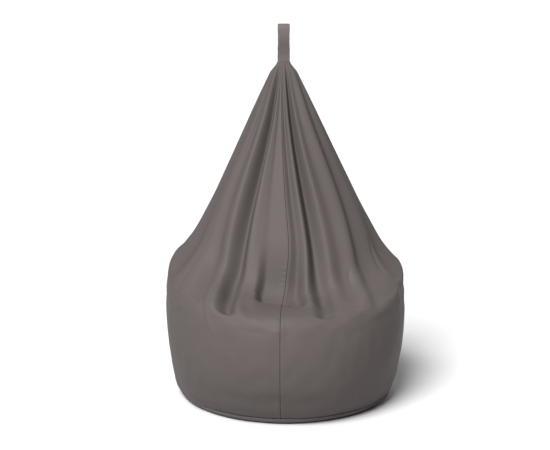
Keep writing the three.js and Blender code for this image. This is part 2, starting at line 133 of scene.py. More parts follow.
def plain_profile(azimuth):
    """The plain cover's profile at each azimuth, from the base seam to the apex, and its neck's point."""
    a = azimuth[:, None]
    share = np.linspace(0, 1, PROFILE_STEPS)[None, :]
    top = wall_top(a)
    height = SEAM_HEIGHT + share * (top - SEAM_HEIGHT)
    wall = polar(a + 0 * share, wall_radius(a, height), height)
    radius = wall_radius(a, top)
    lean = (radius - wall_radius(a, top - MM)) / MM
    rise = shoulder_rise(a)
    r = [radius, radius + lean * rise, neck_radius(a) + shoulder_reach(a), neck_radius(a)]
    z = [top, top + rise, neck_height(a) - shoulder_drop(a), neck_height(a)]
    weights = [(1 - share)**3, 3 * share * (1 - share)**2, 3 * share**2 * (1 - share), share**3]
    curve = [sum(weight * value for weight, value in zip(weights, values)) for values in (r, z)]
    shoulder = polar(a + 0 * share, *curve)
    across, depth = APEX_HALF_WIDTH * np.sin(a) - APEX_LEFT, APEX_BACK - APEX_HALF_DEPTH * np.cos(a)
    apex = np.stack([across, depth, APEX_HEIGHT + 0 * a], -1)
    neck = polar(a, neck_radius(a), neck_height(a))
    cone = neck + (apex - neck) * share[..., None]
    return np.concatenate([wall, shoulder[:, 1:], cone[:, 1:]], 1), 2 * PROFILE_STEPS - 2


def smooth_profile(azimuth, lower, upper):
    """Rounds the turn at the neck and spaces the rows, given as shares of the way up to the neck and on to
    the apex. Gives the points, their distance above the neck along the surface, and their levels."""
    points, neck = plain_profile(azimuth)
    steps = np.linalg.norm(np.diff(points, axis=1), axis=2)
    along = np.concatenate([np.zeros((len(azimuth), 1)), np.cumsum(steps, axis=1)], 1)
    at_neck, end = along[:, neck], along[:, -1]
    turn = TURN_BACK + (TURN_FRONT - TURN_BACK) * (0.5 + 0.5 * np.cos(azimuth))**1.5
    kernel = np.linspace(-KERNEL_REACH, KERNEL_REACH, KERNEL_POINTS)
    weight = np.exp(-kernel**2 / 2)
    weight /= weight.sum()
    out = np.zeros((len(azimuth), len(lower) + len(upper), 3))
    above = np.zeros(out.shape[:2])
    for i in range(len(azimuth)):
        s = np.concatenate([at_neck[i] * lower, at_neck[i] + (end[i] - at_neck[i]) * upper])
        above[i] = s - at_neck[i]
        width = turn[i] * np.exp(-(above[i] / TURN_REACH)**2) + 2 * MM
        width = np.minimum(width, np.minimum(s, end[i] - s) / KERNEL_REACH)
        for k, w in zip(kernel, weight):
            for axis in range(3):
                out[i, :, axis] += w * np.interp(s + k * width, along[i], points[i, :, axis])
    gathered = 1 - ease((APEX_HEIGHT - out[..., 2]) / GATHER_LENGTH)
    out[..., 0] = -APEX_LEFT + (out[..., 0] + APEX_LEFT) * (1 - (1 - GATHER_WIDTH) * gathered)
    out[..., 1] = APEX_BACK + (out[..., 1] - APEX_BACK) * (1 - (1 - GATHER_DEPTH) * gathered)
    level = np.where(above > 0, above / (end - at_neck)[:, None], above / CONE_LENGTH)
    return out, above, level


# ---- folds ----
# A fold runs down the cone from the strap and ends on the seat or a shoulder. Levels count from 0 at the
# neck to 1 at the apex, and are negative below the neck. Each fold is given by its azimuth at the neck and
# its azimuth high on the cone in degrees, its height out of the plain cover at the neck and on the cone in
# mm, the level where it ends, and the length over which it does. Ridges stand out and valleys go in.
FOLDS = [
    # left ear and shoulder
    (-102, -104, 8, 3, -0.28, 0.12),
    (-88, -87, -8, -2, -0.26, 0.15),
    (-78, -76, 2, 1, -0.24, 0.12),
    (-68, -62, 4, 3, -0.22, 0.12),
    (-58, -58, -5, -3, -0.20, 0.14),
    # the long ridge and the deep valley on the left, which end in a narrow tip
    (-47, -44, 10, 10, -0.22, 0.07),
    (-37, -29, -19, -26, -0.19, 0.03),
    (-29, -20, 7, 6, -0.20, 0.06),
    # the wide pocket left of the seam, with its flat lip
    (-22, -14, 7, 2, -0.13, 0.06),
    (-15, -10, -17, -2, -0.062, 0.034),
    (-6, -6, -18, 0, -0.062, 0.034),
    # the pocket right of the seam, with its round lip
    (1, -1, -15, 1, -0.067, 0.034),
    (8, 4, -19, -6, -0.092, 0.036),
    (16, 9, 9, 8, -0.11, 0.05),
    # the deep valley on the right
    (25, 17, -17, -25, -0.19, 0.03),
    (35, 26, 4, 4, -0.14, 0.08),
    (43, 36, -3, -2, -0.14, 0.08),
    (52, 53, 6, 6, -0.20, 0.10),
    # right shoulder and ear
    (61, 70, -7, -8, -0.20, 0.10),
    (77, 84, 2, 2, -0.18, 0.10),
    (88, 97, -9, -2, -0.22, 0.15),
    (100, 108, 7, 2, -0.26, 0.15),
    # the back
    (118, 123, -5, -8, -0.14, 0.12),
    (132, 136, 3, 5, -0.10, 0.10),
    (145, 150, -8, -13, -0.12, 0.12),
    (157, 161, 2, 4, -0.08, 0.10),
    (168, 170, -3, -5, -0.06, 0.10),
    (180, 181, 1, 2, -0.06, 0.10),
    (192, 190, -4, -6, -0.06, 0.10),
    (204, 200, 2, 4, -0.08, 0.10),
    (216, 211, -9, -14, -0.12, 0.12),
    (230, 225, 3, 5, -0.10, 0.10),
    (243, 238, -5, -8, -0.14, 0.12),
]
FIRST_AZIMUTH = -110  # the folds are listed from here round

HIGH_LEVEL = 0.8      # where a fold has its high azimuth
HIGH_CURVE = 1.6      # how late it gets there
BOW = 0.13            # how far folds bow away from the seam on the cone
BOW_LEVEL = 0.75      # where the bow ends
CLOSING = 0.27        # how far they close in on the seam below the neck
CLOSING_LEVEL = 0.2   # by this far down
FRONT_FADE = 60       # both fade out over this many degrees before the first azimuth
FULL_LEVEL = 0.25     # where a fold has its height on the cone
FADE_LEVEL = 0.35     # where it starts to fade towards the apex
CREASE_FADE = 0.05    # the part of a level over which a crease runs out at each end

# Creases and small ridges: the levels and azimuths of both ends, the height and the half width in mm.
CREASES = [
    (-0.30, -0.03, -31, -50, 2.2, 5),
    (-0.08, 0.14, 70, 83, -3, 7),
    (-0.19, 0.0, 24, 30, 2, 5),
    (-0.10, 0.08, 41, 51, -2, 6),
    (-0.22, 0.0, -62, -73, -2, 6),
]

# The front seam wanders: its level and its azimuth in degrees.
SEAM_TRACK = np.array([(-0.65, -2.2), (-0.04, -2), (0.10, 1), (0.22, 3.6), (0.48, -0.3), (0.83, -6), (1, -8)])
SEAM_WINDOW = 40      # the cover moves sideways with the seam up to this many degrees away
SEAM_FOLD_WINDOW = 30


def slopes(h, slope):
    """The slopes at the knots that keep a curve through them from overshooting, along the last axis."""
    m = np.zeros(slope.shape[:-1] + (slope.shape[-1] + 1,))
    before, after = slope[..., :-1], slope[..., 1:]
    w1, w2 = 2 * h[..., 1:] + h[..., :-1], h[..., 1:] + 2 * h[..., :-1]
    same = before * after > 0
    with np.errstate(divide="ignore", invalid="ignore"):
        m[..., 1:-1] = np.where(same, (w1 + w2) / (w1 / before + w2 / after), 0)
    return m


def through(x, knots, values):
    """A smooth curve through the knots at each x. Each x may have its own knots, on their last axis."""
    knots, values = np.broadcast_to(knots, x.shape + (np.shape(knots)[-1],)), np.asarray(values, float)
    values = np.broadcast_to(values, knots.shape)
    h = np.maximum(np.diff(knots, axis=-1), 1e-9)
    m = slopes(h, np.diff(values, axis=-1) / h)
    i = np.clip((knots <= x[..., None]).sum(-1) - 1, 0, h.shape[-1] - 1)[..., None]
    pick = lambda a, k=0: np.take_along_axis(a, i + k, -1)[..., 0]
    span = pick(h)
    t = np.clip((x - pick(knots)) / span, 0, 1)
    return ((2 * t**3 - 3 * t**2 + 1) * pick(values) + (t**3 - 2 * t**2 + t) * pick(m) * span
            + (3 * t**2 - 2 * t**3) * pick(values, 1) + (t**3 - t**2) * pick(m, 1) * span)


def seam_azimuth(level):
    """The front seam's azimuth in degrees."""
    return through(level, SEAM_TRACK[:, 0], SEAM_TRACK[:, 1])


def fold_track(level, at_neck, high, out_at_neck, out_on_cone, end, ending):
    """One fold's azimuth in degrees and its height in mm at each level."""
    front = ease((-FIRST_AZIMUTH - abs(at_neck)) / FRONT_FADE)
    cone = np.clip(level, 0, 1)
    azimuth = at_neck + (high - at_neck) * (cone / HIGH_LEVEL)**HIGH_CURVE
    azimuth += BOW * at_neck * front * np.sin(math.pi * np.clip(cone / BOW_LEVEL, 0, 1))
    azimuth += CLOSING * at_neck * front * np.minimum(level, 0) / CLOSING_LEVEL
    azimuth += seam_azimuth(level) * ease(1 - abs(at_neck) / SEAM_FOLD_WINDOW) * (cone > 0)
    height = out_at_neck + (out_on_cone - out_at_neck) * ease(cone / FULL_LEVEL)
    height = height * (1 - np.clip((level - FADE_LEVEL) / (1 - FADE_LEVEL), 0, 1)**2)
    return azimuth, height * ease((level - end) / ending)


LEVELS = np.linspace(-0.7, 1, 341)
TRACKS = [fold_track(LEVELS, *fold) for fold in FOLDS]
FOLD_AZIMUTHS, FOLD_HEIGHTS = (np.stack(values, -1) for values in zip(*TRACKS))


def fold_height(azimuth, level, span):
    """How far the folds stand out of the plain cover, in metres. The span is one radian's length there."""
    degrees = (np.degrees(azimuth) - FIRST_AZIMUTH) % 360 + FIRST_AZIMUTH
    at = np.interp(level, LEVELS, np.arange(len(LEVELS)))
    low = np.clip(at.astype(int), 0, len(LEVELS) - 2)
    share = (at - low)[..., None]
    knots = FOLD_AZIMUTHS[low] * (1 - share) + FOLD_AZIMUTHS[low + 1] * share
    values = FOLD_HEIGHTS[low] * (1 - share) + FOLD_HEIGHTS[low + 1] * share
    knots = np.concatenate([knots[..., -1:] - 360, knots, knots[..., :1] + 360], -1)
    values = np.concatenate([values[..., -1:], values, values[..., :1]], -1)
    height = through(degrees, knots, values)
    for low_level, high_level, low_azimuth, high_azimuth, rise, half_width in CREASES:
        line = np.interp(level, [low_level, high_level], [low_azimuth, high_azimuth])
        off = np.radians(degrees - line) * span / (half_width * MM)
        shown = ease((level - low_level) / CREASE_FADE) * ease((high_level - level) / CREASE_FADE)
        height = height + rise * shown * np.exp(-off**2)
    return height * MM


# ---- the cover's grid ----
SKIN = 1.2 * MM
EDGE_ROUND = 1.5 * MM
SEAM_HALF_GAP = 0.15 * MM
ALLOWANCE = [2 * MM, 4.5 * MM]  # how deep the turned-in edge of a panel goes, in steps
ALLOWANCE_WIDTH, ALLOWANCE_RISE, ALLOWANCE_SOFT = 11 * MM, 0.35 * MM, 1.6 * MM
SEAM_PULL, SEAM_PULL_REACH = 0.35 * MM, 4 * MM
THINNEST, THIN_LEVEL, THIN_LENGTH = 0.2, 0.97, 0.15
SLOT_ALLOWANCE = [0.4 * MM, 0.8 * MM]
SLOT_LOW, SLOT_HIGH, SLOT_TAPER, SLOT_HALF_WIDTH = 0.054, 0.398, 0.012, 0.0065
NEAR_SEAM = np.array([0, 0.25, 0.7, 1.4, 2.4, 3.8, 5.6, 7.8, 10.0, 11.4, 12.8, 15, 18]) * MM
NEAR_SEAM_ANGLE = math.radians(11)
FRONT_COLUMNS, BACK_COLUMNS = 96, 56
LOWER_ROWS = np.concatenate([
    [0, 0.001, 0.0025, 0.005], np.linspace(0.012, 0.60, 40), np.linspace(0.6, 1, 62)[1:-1]])
UPPER_ROWS = np.concatenate([
    np.linspace(0, 0.16, 34), np.linspace(0.16, 0.97, 92)[1:], [0.978, 0.985, 0.991, 0.996, 1]])
PLAIN_AZIMUTHS = np.linspace(-190, 370, 561)

plain_points, plain_above, plain_level = smooth_profile(np.radians(PLAIN_AZIMUTHS), LOWER_ROWS, UPPER_ROWS)
plain_span = np.linalg.norm(np.gradient(plain_points, np.radians(PLAIN_AZIMUTHS), axis=0), axis=2)


def on_plain(values, azimuth):
    """Plain cover values taken at an azimuth for each row. The last axis may hold coordinates."""
    if values.ndim == 3:
        return np.stack([on_plain(values[..., k], azimuth) for k in range(values.shape[2])], -1)
    degrees = np.degrees(azimuth)
    rows = range(azimuth.shape[1])
    return np.stack([np.interp(degrees[:, j], PLAIN_AZIMUTHS, values[:, j]) for j in rows], 1)


def plain_cover(azimuth, rows=slice(None)):
    """The plain cover at each azimuth: its points, their distance above the neck, their levels and spans."""
    tables = (plain_points, plain_above, plain_level, plain_span)
    return [on_plain(values[:, rows], azimuth) for values in tables]


def every_row(azimuths):
    """The same azimuths for each row of the plain cover."""
    return np.repeat(np.reshape(azimuths, (-1, 1)), plain_points.shape[1], 1)


def grid_normals(points):
    normal = np.cross(np.gradient(points, axis=0), np.gradient(points, axis=1))
    return normal / np.maximum(np.linalg.norm(normal, axis=2, keepdims=True), 1e-12)


def seam_shift(level):
    return np.radians(seam_azimuth(level))


def puckers(above, sideways, level):
    """Small ruffles across the front seam, strongest to its left where the cone meets the seat."""
    left = np.exp(-(np.minimum(sideways, 0) / (19 * MM))**2) * (sideways < 0)
    right = np.exp(-(sideways / (11 * MM))**2) * (sideways >= 0)
    phase = above / MM + 9 * np.sin(above / MM * 0.031) + sideways / MM * 0.12
    strong = ease((level + 0.02) / 0.05) * ease((0.26 - level) / 0.12)
    faint = ease((0.02 - level) / 0.1) * ease((level + 0.62) / 0.1)
    up_high = ease((level - 0.16) / 0.1) * ease((0.5 - level) / 0.2)
    fade_in = ease((np.abs(sideways) - 1.5 * MM) / (3 * MM))
    uneven = 0.6 + 0.4 * np.sin(above / MM * 0.11 + 2) * np.sin(above / MM * 0.047)
    ruffle = strong * (left + 0.35 * right) * 0.62 * uneven * np.sin(phase * 2 * math.pi / 12.5)
    ruffle += faint * (left + right) * 0.32 * np.sin(phase * 2 * math.pi / 15 + 1)
    ruffle += up_high * (left + 0.5 * right) * 0.3 * np.sin(phase * 2 * math.pi / 13)
    return ruffle * fade_in * MM


DENT_DEPTH, DENT_TOP, DENT_FADE = 0.8 * MM, 0.5, 0.2


def at_zip_seam(azimuth):
    return abs(abs(azimuth) - math.pi) < 1e-6


def dents(points):
    """The slow unevenness of loose beads under the leather."""
    x, y, z = points[..., 0], points[..., 1], points[..., 2]
    slow = np.sin(19 * x + 7 * y + 1.3) * np.sin(17 * z - 5 * x + 0.4)
    slow += np.sin(31 * y - 11 * z + 2.1) * np.sin(23 * x + 2)
    return slow * DENT_DEPTH * ease((DENT_TOP - z) / DENT_FADE)


def panel_azimuths(start, end, columns):
    """Each row's azimuths across one panel, their distances from the nearer seam, and how far the zip's slot
    is open there."""
    span = on_plain(plain_span, every_row((start + end) / 2))[0]
    height = on_plain(plain_points, every_row(math.pi))[0, :, 2]
    inside = np.minimum(height - SLOT_LOW, SLOT_HIGH - height) / SLOT_TAPER
    slot = SEAM_HALF_GAP + (SLOT_HALF_WIDTH - SEAM_HALF_GAP) * np.clip(1 + inside, 0, 1)
    edge = []
    for seam in (start, end):
        at_seam = on_plain(plain_span, every_row(seam))[0]
        gap = slot if at_zip_seam(seam) else np.full_like(slot, SEAM_HALF_GAP)
        off = NEAR_SEAM[:, None] + gap[None, :]
        edge.append((NEAR_SEAM_ANGLE * (1 - np.exp(-off / (NEAR_SEAM_ANGLE * at_seam))), gap))
    first, last = start + edge[0][0], (end - edge[1][0])[::-1]
    share = np.linspace(0, 1, columns + 2)[1:-1, None]
    azimuth = np.concatenate([first, first[-1] + share * (last[0] - first[-1]), last], 0)
    from_start = (azimuth - start) * span - edge[0][1]
    from_end = (end - azimuth) * span - edge[1][1]
    opened = (slot - SEAM_HALF_GAP) / (SLOT_HALF_WIDTH - SEAM_HALF_GAP)
    return azimuth, np.minimum(from_start, from_end), opened


def rounded_edge(distance):
    inside = np.clip(EDGE_ROUND - distance, 0, EDGE_ROUND)
    return EDGE_ROUND - np.sqrt(EDGE_ROUND**2 - inside**2)


def thinned(level):
    """How much of its thickness and its seams' rounding the cover keeps towards the gathered apex."""
    return THINNEST + (1 - THINNEST) * ease((THIN_LEVEL - level) / THIN_LENGTH)


def allowance_step(from_seam, level):
    """The faint step where the seam allowance under the leather ends."""
    across = ease((ALLOWANCE_WIDTH + ALLOWANCE_SOFT / 2 - from_seam) / ALLOWANCE_SOFT)
    return ALLOWANCE_RISE * across * ease((0.7 - level) / 0.2)


def seam_edge(from_seam):
    """How far the cover drops where it turns in to a seam, which also pulls it in a little beside itself."""
    return rounded_edge(from_seam) + SEAM_PULL * np.exp(-from_seam / SEAM_PULL_REACH)


def cover_height(points, azimuth, above, level, span):
    """The folds alone, and with the puckers and dents."""
    shift = seam_shift(level) * ease(1 - np.abs(azimuth) / math.radians(SEAM_WINDOW))
    sideways = (azimuth - shift) * span
    folds = fold_height(azimuth, level, span)
    return folds, folds + puckers(above, sideways, level) + dents(points)


def cover_panel(start, end, columns, settling):
    """One panel's outside and inside, with its edges turned in along the seams."""
    azimuth, from_seam, slot = panel_azimuths(start, end, columns)
    level = on_plain(plain_level, azimuth)
    nearness = ease(1 - np.abs(azimuth) / math.radians(SEAM_WINDOW))
    azimuth = azimuth + seam_shift(level) * nearness
    points, above, level, span = plain_cover(azimuth)
    normals = grid_normals(points)
    folds, height = cover_height(points, azimuth, above, level, span)
    height = height + allowance_step(from_seam, level) - thinned(level) * seam_edge(from_seam)
    height = height - rounded_edge(above - above[:, :1])
    outside = points + normals * height[..., None] + settled_by(settling, azimuth)
    sides = []
    for side in (0, -1):
        at_slot = slot if at_zip_seam((start, end)[side]) else 0 * slot
        rows = []
        for deep, shallow in zip(ALLOWANCE, SLOT_ALLOWANCE):
            depth = (deep + (shallow - deep) * at_slot) * thinned(level[side])
            rows.append(outside[side] - normals[side] * depth[:, None])
        sides.append(rows)
    outside = np.concatenate([np.array(sides[0][::-1]), outside, np.array(sides[1])], 0)
    pad = len(ALLOWANCE)
    thin = np.pad(thinned(level), ((pad, pad), (0, 0)), "edge")
    inside = outside - grid_normals(outside) * (SKIN * thin)[..., None]
    folds = np.pad(folds, ((pad, pad), (0, 0)), "edge")
    return outside, inside, folds


def grid_faces(columns, rows):
    i = np.arange(columns - 1)[:, None]
    j = np.arange(rows - 1)[None, :]
    here, beyond = i * rows + j, (i + 1) * rows + j
    return np.stack([here, beyond, beyond + 1, here + 1], -1).reshape(-1, 4)


def shell_faces(columns, rows):
    """Faces of a closed sheet: its outside grid, its inside grid and the strips along its four borders."""
    outer = grid_faces(columns, rows)
    count = columns * rows
    i, j = np.arange(columns), np.arange(rows)
    last_column, last_row = (columns - 1) * rows + j, i * rows + rows - 1
    ring = np.concatenate([i * rows, last_column[1:], last_row[-2::-1], j[-2:0:-1]])
    following = np.roll(ring, -1)
    border = np.stack([following, ring, ring + count, following + count], -1)
    return np.concatenate([outer, outer[:, ::-1] + count, border]).tolist()


def wrapped_faces(columns, rows):
    """Faces of a grid whose last column joins its first, (column, row)."""
    i, j = np.arange(columns)[:, None], np.arange(rows - 1)[None, :]
    n = (i + 1) % columns
    here, beyond = i * rows + j, n * rows + j
    return np.stack([here, beyond, beyond + 1, here + 1], -1)


def make_mesh(name, points, faces):
    mesh = bpy.data.meshes.new(name)
    mesh.from_pydata(np.asarray(points, float).reshape(-1, 3).tolist(), [], faces)
    mesh.validate()
    mesh.polygons.foreach_set("use_smooth", [True] * len(mesh.polygons))
    obj = bpy.data.objects.new(name, mesh)
    bpy.context.scene.collection.objects.link(obj)
    return obj


def store_wear_and_valley_shade(obj, values):
    """Keeps where a piece's crests and valleys are, for its leather: crests lighter as rubbed wear, valleys
    darker as painted shade.
    """
    attribute = obj.data.attributes.new("wear_and_valley_shade", "FLOAT", "POINT")
    attribute.data.foreach_set("value", np.asarray(values, np.float32).ravel())


def dress(piece, material, slot_name, *nodes, body="bag"):
    """Gives a piece its material and the body it rides on, and hides the CAD nodes it replaces. Its slot name
    is not used.
    """
    piece.data.materials.append(material)
    if body:
        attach(piece, body)
    if nodes:
        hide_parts(*nodes)


FULL_RIDGE = 7 * MM  # a fold this high is lightened in full as a rubbed crest, or darkened in full with painted shade as a valley
PANELS = [
    ("front_right_panel", 0, QUARTER, FRONT_COLUMNS),
    ("back_right_panel", QUARTER, 2 * QUARTER, BACK_COLUMNS),
    ("back_left_panel", -2 * QUARTER, -QUARTER, BACK_COLUMNS),
    ("front_left_panel", -QUARTER, 0, FRONT_COLUMNS),
]


def build_cover(material):
    settling = settle_cover()
    for node, start, end, columns in PANELS:
        outside, inside, folds = cover_panel(start, end, columns, settling)
        panel = make_mesh("cover_" + node, np.stack([outside, inside]), shell_faces(*outside.shape[:2]))
        # The fold heights go to the leather, which lightens crests as rubbed wear and darkens valleys with
        # painted shade.
        store_wear_and_valley_shade(panel, np.stack([np.clip(folds / FULL_RIDGE, -1, 1), 0 * folds]))
        dress(panel, material, "cover", node)


# ---- the leather settles ----
SETTLE_COLUMNS, SETTLE_STEP, SETTLE_FRAMES = 216, 2, 16
SETTLE_LIMIT = 5 * MM
WEIGHT_STEPS = 40
FIRM_SEAT, FIRM_CONE, FIRM_WALL = 0.10, 0.25, 0.15
HELD_LEVEL, HELD_FOOT = 0.86, 0.021        # held in full above the level, and below the height
HELD_BY_ZIP, HELD_BELOW = 13, 0.49         # degrees from the back seam, and the height up to which it counts
SETTLE_ROWS = np.append(np.arange(0, plain_points.shape[1] - 1, SETTLE_STEP), plain_points.shape[1] - 1)


SETTLE_CLOTH = {
    "quality": 7, "mass": 0.05, "tension_stiffness": 25, "compression_stiffness": 25, "shear_stiffness": 12,
    "bending_stiffness": 2.5, "vertex_group_mass": "held", "shrink_min": -0.022, "use_pressure": True,
    "uniform_pressure_force": 0.5,
}


def settle_weights(azimuth, points, level):
    """How firmly each point keeps its place: fully at the base seam, the zip, the label and the strap."""
    height = points[..., 2]
    weight = FIRM_SEAT + FIRM_CONE * ease((level - 0.55) / 0.3) + FIRM_WALL * ease((-0.1 - level) / 0.1)
    weight = np.maximum(weight, ease((level - HELD_LEVEL) / 0.06))
    weight = np.maximum(weight, 1 - ease((height - HELD_FOOT) / 0.02))
    from_back_seam = np.degrees(np.abs(np.abs(azimuth) - math.pi))
    at_zip = ease((HELD_BY_ZIP - from_back_seam) / 5)
    return np.maximum(weight, at_zip * ease((HELD_BELOW - height) / 0.03))


def settle_cover():
    """Lets the whole cover settle as cloth, with a little slack cut into it, pushed out by the beads. Gives
    how far each point of a coarse grid moves."""
    azimuths = np.linspace(-math.pi, math.pi, SETTLE_COLUMNS, endpoint=False)
    rows = len(SETTLE_ROWS)
    azimuth = every_row(azimuths)
    points, above, level, span = plain_cover(azimuth)
    _, height = cover_height(points, azimuth, above, level, span)
    start = (points + grid_normals(points) * height[..., None])[:, SETTLE_ROWS]
    weight = settle_weights(azimuth, points, level)[:, SETTLE_ROWS]
    cover = make_mesh("settling", start, wrapped_faces(SETTLE_COLUMNS, rows).reshape(-1, 4).tolist())
    group = cover.vertex_groups.new(name="held")
    steps = np.round(weight.ravel() * WEIGHT_STEPS).astype(int)
    for step in np.unique(steps):
        group.add(np.flatnonzero(steps == step).tolist(), float(step) / WEIGHT_STEPS, "REPLACE")
    simulation = cover.modifiers.new("cloth", "CLOTH")
    for name, value in SETTLE_CLOTH.items():
        setattr(simulation.settings, name, value)
    simulation.collision_settings.use_collision = False
    simulation.point_cache.frame_start, simulation.point_cache.frame_end = 1, SETTLE_FRAMES
    scene = bpy.context.scene
    for frame_number in range(1, SETTLE_FRAMES + 1):
        scene.frame_set(frame_number)
    result = cover.evaluated_get(bpy.context.evaluated_depsgraph_get()).data
    end = np.empty(len(result.vertices) * 3)
    result.vertices.foreach_get("co", end)
    scene.frame_set(1)
    mesh = cover.data
    bpy.data.objects.remove(cover)
    bpy.data.meshes.remove(mesh)
    moved = end.reshape(start.shape) - start
    for _ in range(2):
        moved[:, 1:-1] = (moved[:, :-2] + 2 * moved[:, 1:-1] + moved[:, 2:]) / 4
        moved = (np.roll(moved, 1, 0) + 2 * moved + np.roll(moved, -1, 0)) / 4
    length = np.linalg.norm(moved, axis=2, keepdims=True)
    limited = SETTLE_LIMIT * np.tanh(length / SETTLE_LIMIT)
    return azimuths, moved * limited / np.maximum(length, 1e-9) * (1 - weight[..., None])**0.5


def settled_by(settling, azimuth):
    """How far the cover has moved, on a fine grid of azimuths with all the plain cover's rows."""
    azimuths, moved = settling
    around_twice = np.concatenate([azimuths - 2 * math.pi, azimuths, azimuths + 2 * math.pi])
    moved = np.concatenate([moved] * 3)
    rows = np.arange(azimuth.shape[1])
    low = np.clip(np.searchsorted(SETTLE_ROWS, rows, "right") - 1, 0, len(SETTLE_ROWS) - 2)
    share = (rows - SETTLE_ROWS[low]) / (SETTLE_ROWS[low + 1] - SETTLE_ROWS[low])
    out = np.zeros(azimuth.shape + (3,))
    for j in range(azimuth.shape[1]):
        row = moved[:, low[j]] * (1 - share[j]) + moved[:, low[j] + 1] * share[j]
        for axis in range(3):
            out[:, j, axis] = np.interp(azimuth[:, j], around_twice, row[:, axis])
    return out


# ---- liner and beads ----
LINER_DEPTH, LINER_SKIN, BEAD_DEPTH = 9 * MM, 0.6 * MM, 12.5 * MM
HEAP_LEVEL, HEAP_ROUND, HEAP_ROUND_LENGTH = 0.36, 20 * MM, 0.22
INNER_COLUMNS = 72  # in half a turn
DISC_COLUMNS = 180
FLOOR_SKIN = 1.5 * MM
BEAD_FLOOR, BEAD_CROWN = 5 * MM, 14 * MM


def inner_surface(azimuths, depth, slack):
    """The cover's own shape at a depth under its valleys, up to the level where the beads end."""
    rows = np.flatnonzero(plain_level.mean(0) < HEAP_LEVEL)[::2]
    azimuth = every_row(azimuths)
    points, _, level, span = plain_cover(azimuth)
    folds = np.minimum(fold_height(azimuth, level, span), 0)
    x, y, z = points[..., 0], points[..., 1], points[..., 2]
    ripple = np.sin(46 * z + 21 * x + 1) * np.sin(40 * x - 33 * y)
    ripple += 0.5 * np.sin(95 * z + 60 * y) * np.sin(83 * x)
    rounding = HEAP_ROUND * ease((level - HEAP_LEVEL) / HEAP_ROUND_LENGTH + 1)
    height = folds * 1.02 - depth - rounding - slack * (1 + ripple) / 2
    return (points + grid_normals(points) * height[..., None])[:, rows]


LINER_NECK_RADIUS, LINER_NECK_RISE, LINER_NECK_LENGTH, LINER_NECK_ROWS = 0.013, 0.022, 0.026, 22
GATHERED = 0.55  # the share of the neck's rows that lie over the beads


def neck_rows(azimuths, ring):
    """The liner's gathered neck: from its last ring in over the beads and up."""
    middle = ring.mean(0)
    gathers = 1 + 0.10 * np.sin(14 * azimuths) + 0.05 * np.sin(23 * azimuths + 1)
    out = []
    for share in np.linspace(0, 1, LINER_NECK_ROWS)[1:]:
        reach = 1 - ease(share / GATHERED)
        target = middle + polar(azimuths, LINER_NECK_RADIUS * gathers, 0)
        flare = 1 + 0.15 * ease((share - 0.85) / 0.15)
        place = ring * reach + target * (1 - reach)
        place[:, :2] = middle[:2] + (place[:, :2] - middle[:2]) * flare
        late = (1 - reach)**3
        upwards = LINER_NECK_LENGTH * max(0, share - GATHERED) / (1 - GATHERED)
        place[:, 2] = ring[:, 2] * (1 - late) + (middle[2] + LINER_NECK_RISE) * late + upwards
        out.append(place)
    return np.stack(out, 1)


def build_liner(material):
    for node, start in (("liner_front", -QUARTER), ("liner_back", QUARTER)):
        azimuths = np.linspace(start + 0.0012, start + math.pi - 0.0012, INNER_COLUMNS)
        body = inner_surface(azimuths, LINER_DEPTH, 1.2 * MM)
        neck = neck_rows(azimuths, body[:, -1])
        outside = np.concatenate([body, neck], 1)
        inside = outside - grid_normals(outside) * LINER_SKIN
        half = make_mesh("inner_" + node, np.stack([outside, inside]), shell_faces(*outside.shape[:2]))
        dress(half, material, "liner", node)


def ring_solid(name, rings, ends):
    """A closed piece from points (column, row) that go all the way round, and a middle point for each end."""
    columns, rows = rings.shape[:2]
    i = np.arange(columns)
    n = (i + 1) % columns
    first, last = np.full(columns, columns * rows), np.full(columns, columns * rows + 1)
    faces = wrapped_faces(columns, rows).transpose(1, 0, 2).reshape(-1, 4).tolist()
    faces += np.stack([n * rows, i * rows, first], -1).tolist()
    faces += np.stack([i * rows + rows - 1, n * rows + rows - 1, last], -1).tolist()
    return make_mesh(name, np.concatenate([rings.reshape(-1, 3), ends]), faces)


def disc(name, radii, profile, ripple):
    """A round closed piece: a profile of (share of the rim radius, height, waviness) turned round."""
    azimuths = np.linspace(-math.pi, math.pi, DISC_COLUMNS, endpoint=False)
    radii = radii(azimuths)
    rings = []
    for share, height, wave in profile:
        waves = np.sin(9 * azimuths + 1) + 0.7 * np.sin(17 * azimuths + 2) + 0.5 * np.sin(31 * azimuths)
        crinkle = ripple * wave * waves
        rings.append(polar(azimuths, radii * share + crinkle, height + 0.4 * np.abs(crinkle)))
    return ring_solid(name, np.stack(rings, 1), [[0, 0, profile[0][1]], [0, 0, profile[-1][1]]])


def dish_profile(floor, rim, skin, flat):
    """(share, height, waviness) from the middle of the underside out to the rim and back over the top."""
    under = [(s, floor, 0) for s in np.linspace(0.05, flat, 8)]
    turn = [(flat + (1 - flat) * math.sin(t), floor + (rim - floor) * (1 - math.cos(t)), (t / QUARTER)**2)
            for t in np.linspace(0, QUARTER, 14)[1:]]
    lip = [(1 - 0.004, rim + 0.3 * MM, 1), (1 - 0.012, rim - 0.2 * MM, 0.9), (1 - 0.022, rim - 2.2 * MM, 0.8)]
    back = [(s - 0.018, h + skin, w) for s, h, w in reversed(turn[3:10])]
    over = [(s, floor + skin, 0) for s in np.linspace(flat - 0.02, 0.05, 8)]
    return under + turn + lip + back + over


def floor_dish(name, node, material, slot_name, depth, profile, ripple):
    """A dish on the floor whose rim follows the wall at a depth inside it."""
    dish = disc(name, lambda azimuth: wall_radius(azimuth, SEAM_HEIGHT) - depth, profile, ripple)
    dress(dish, material, slot_name, node)


def build_base(material):
    profile = dish_profile(0.0, SEAM_HEIGHT - 0.9 * MM, FLOOR_SKIN, 0.90)
    floor_dish("base", "base_panel", material, "base", 0.3 * MM, profile, 0.5 * MM)


def build_liner_base(material):
    profile = dish_profile(2.4 * MM, SEAM_HEIGHT - 1 * MM, LINER_SKIN, 0.90)
    floor_dish("inner_liner_base", "liner_base", material, "liner", LINER_DEPTH, profile, 0.3 * MM)


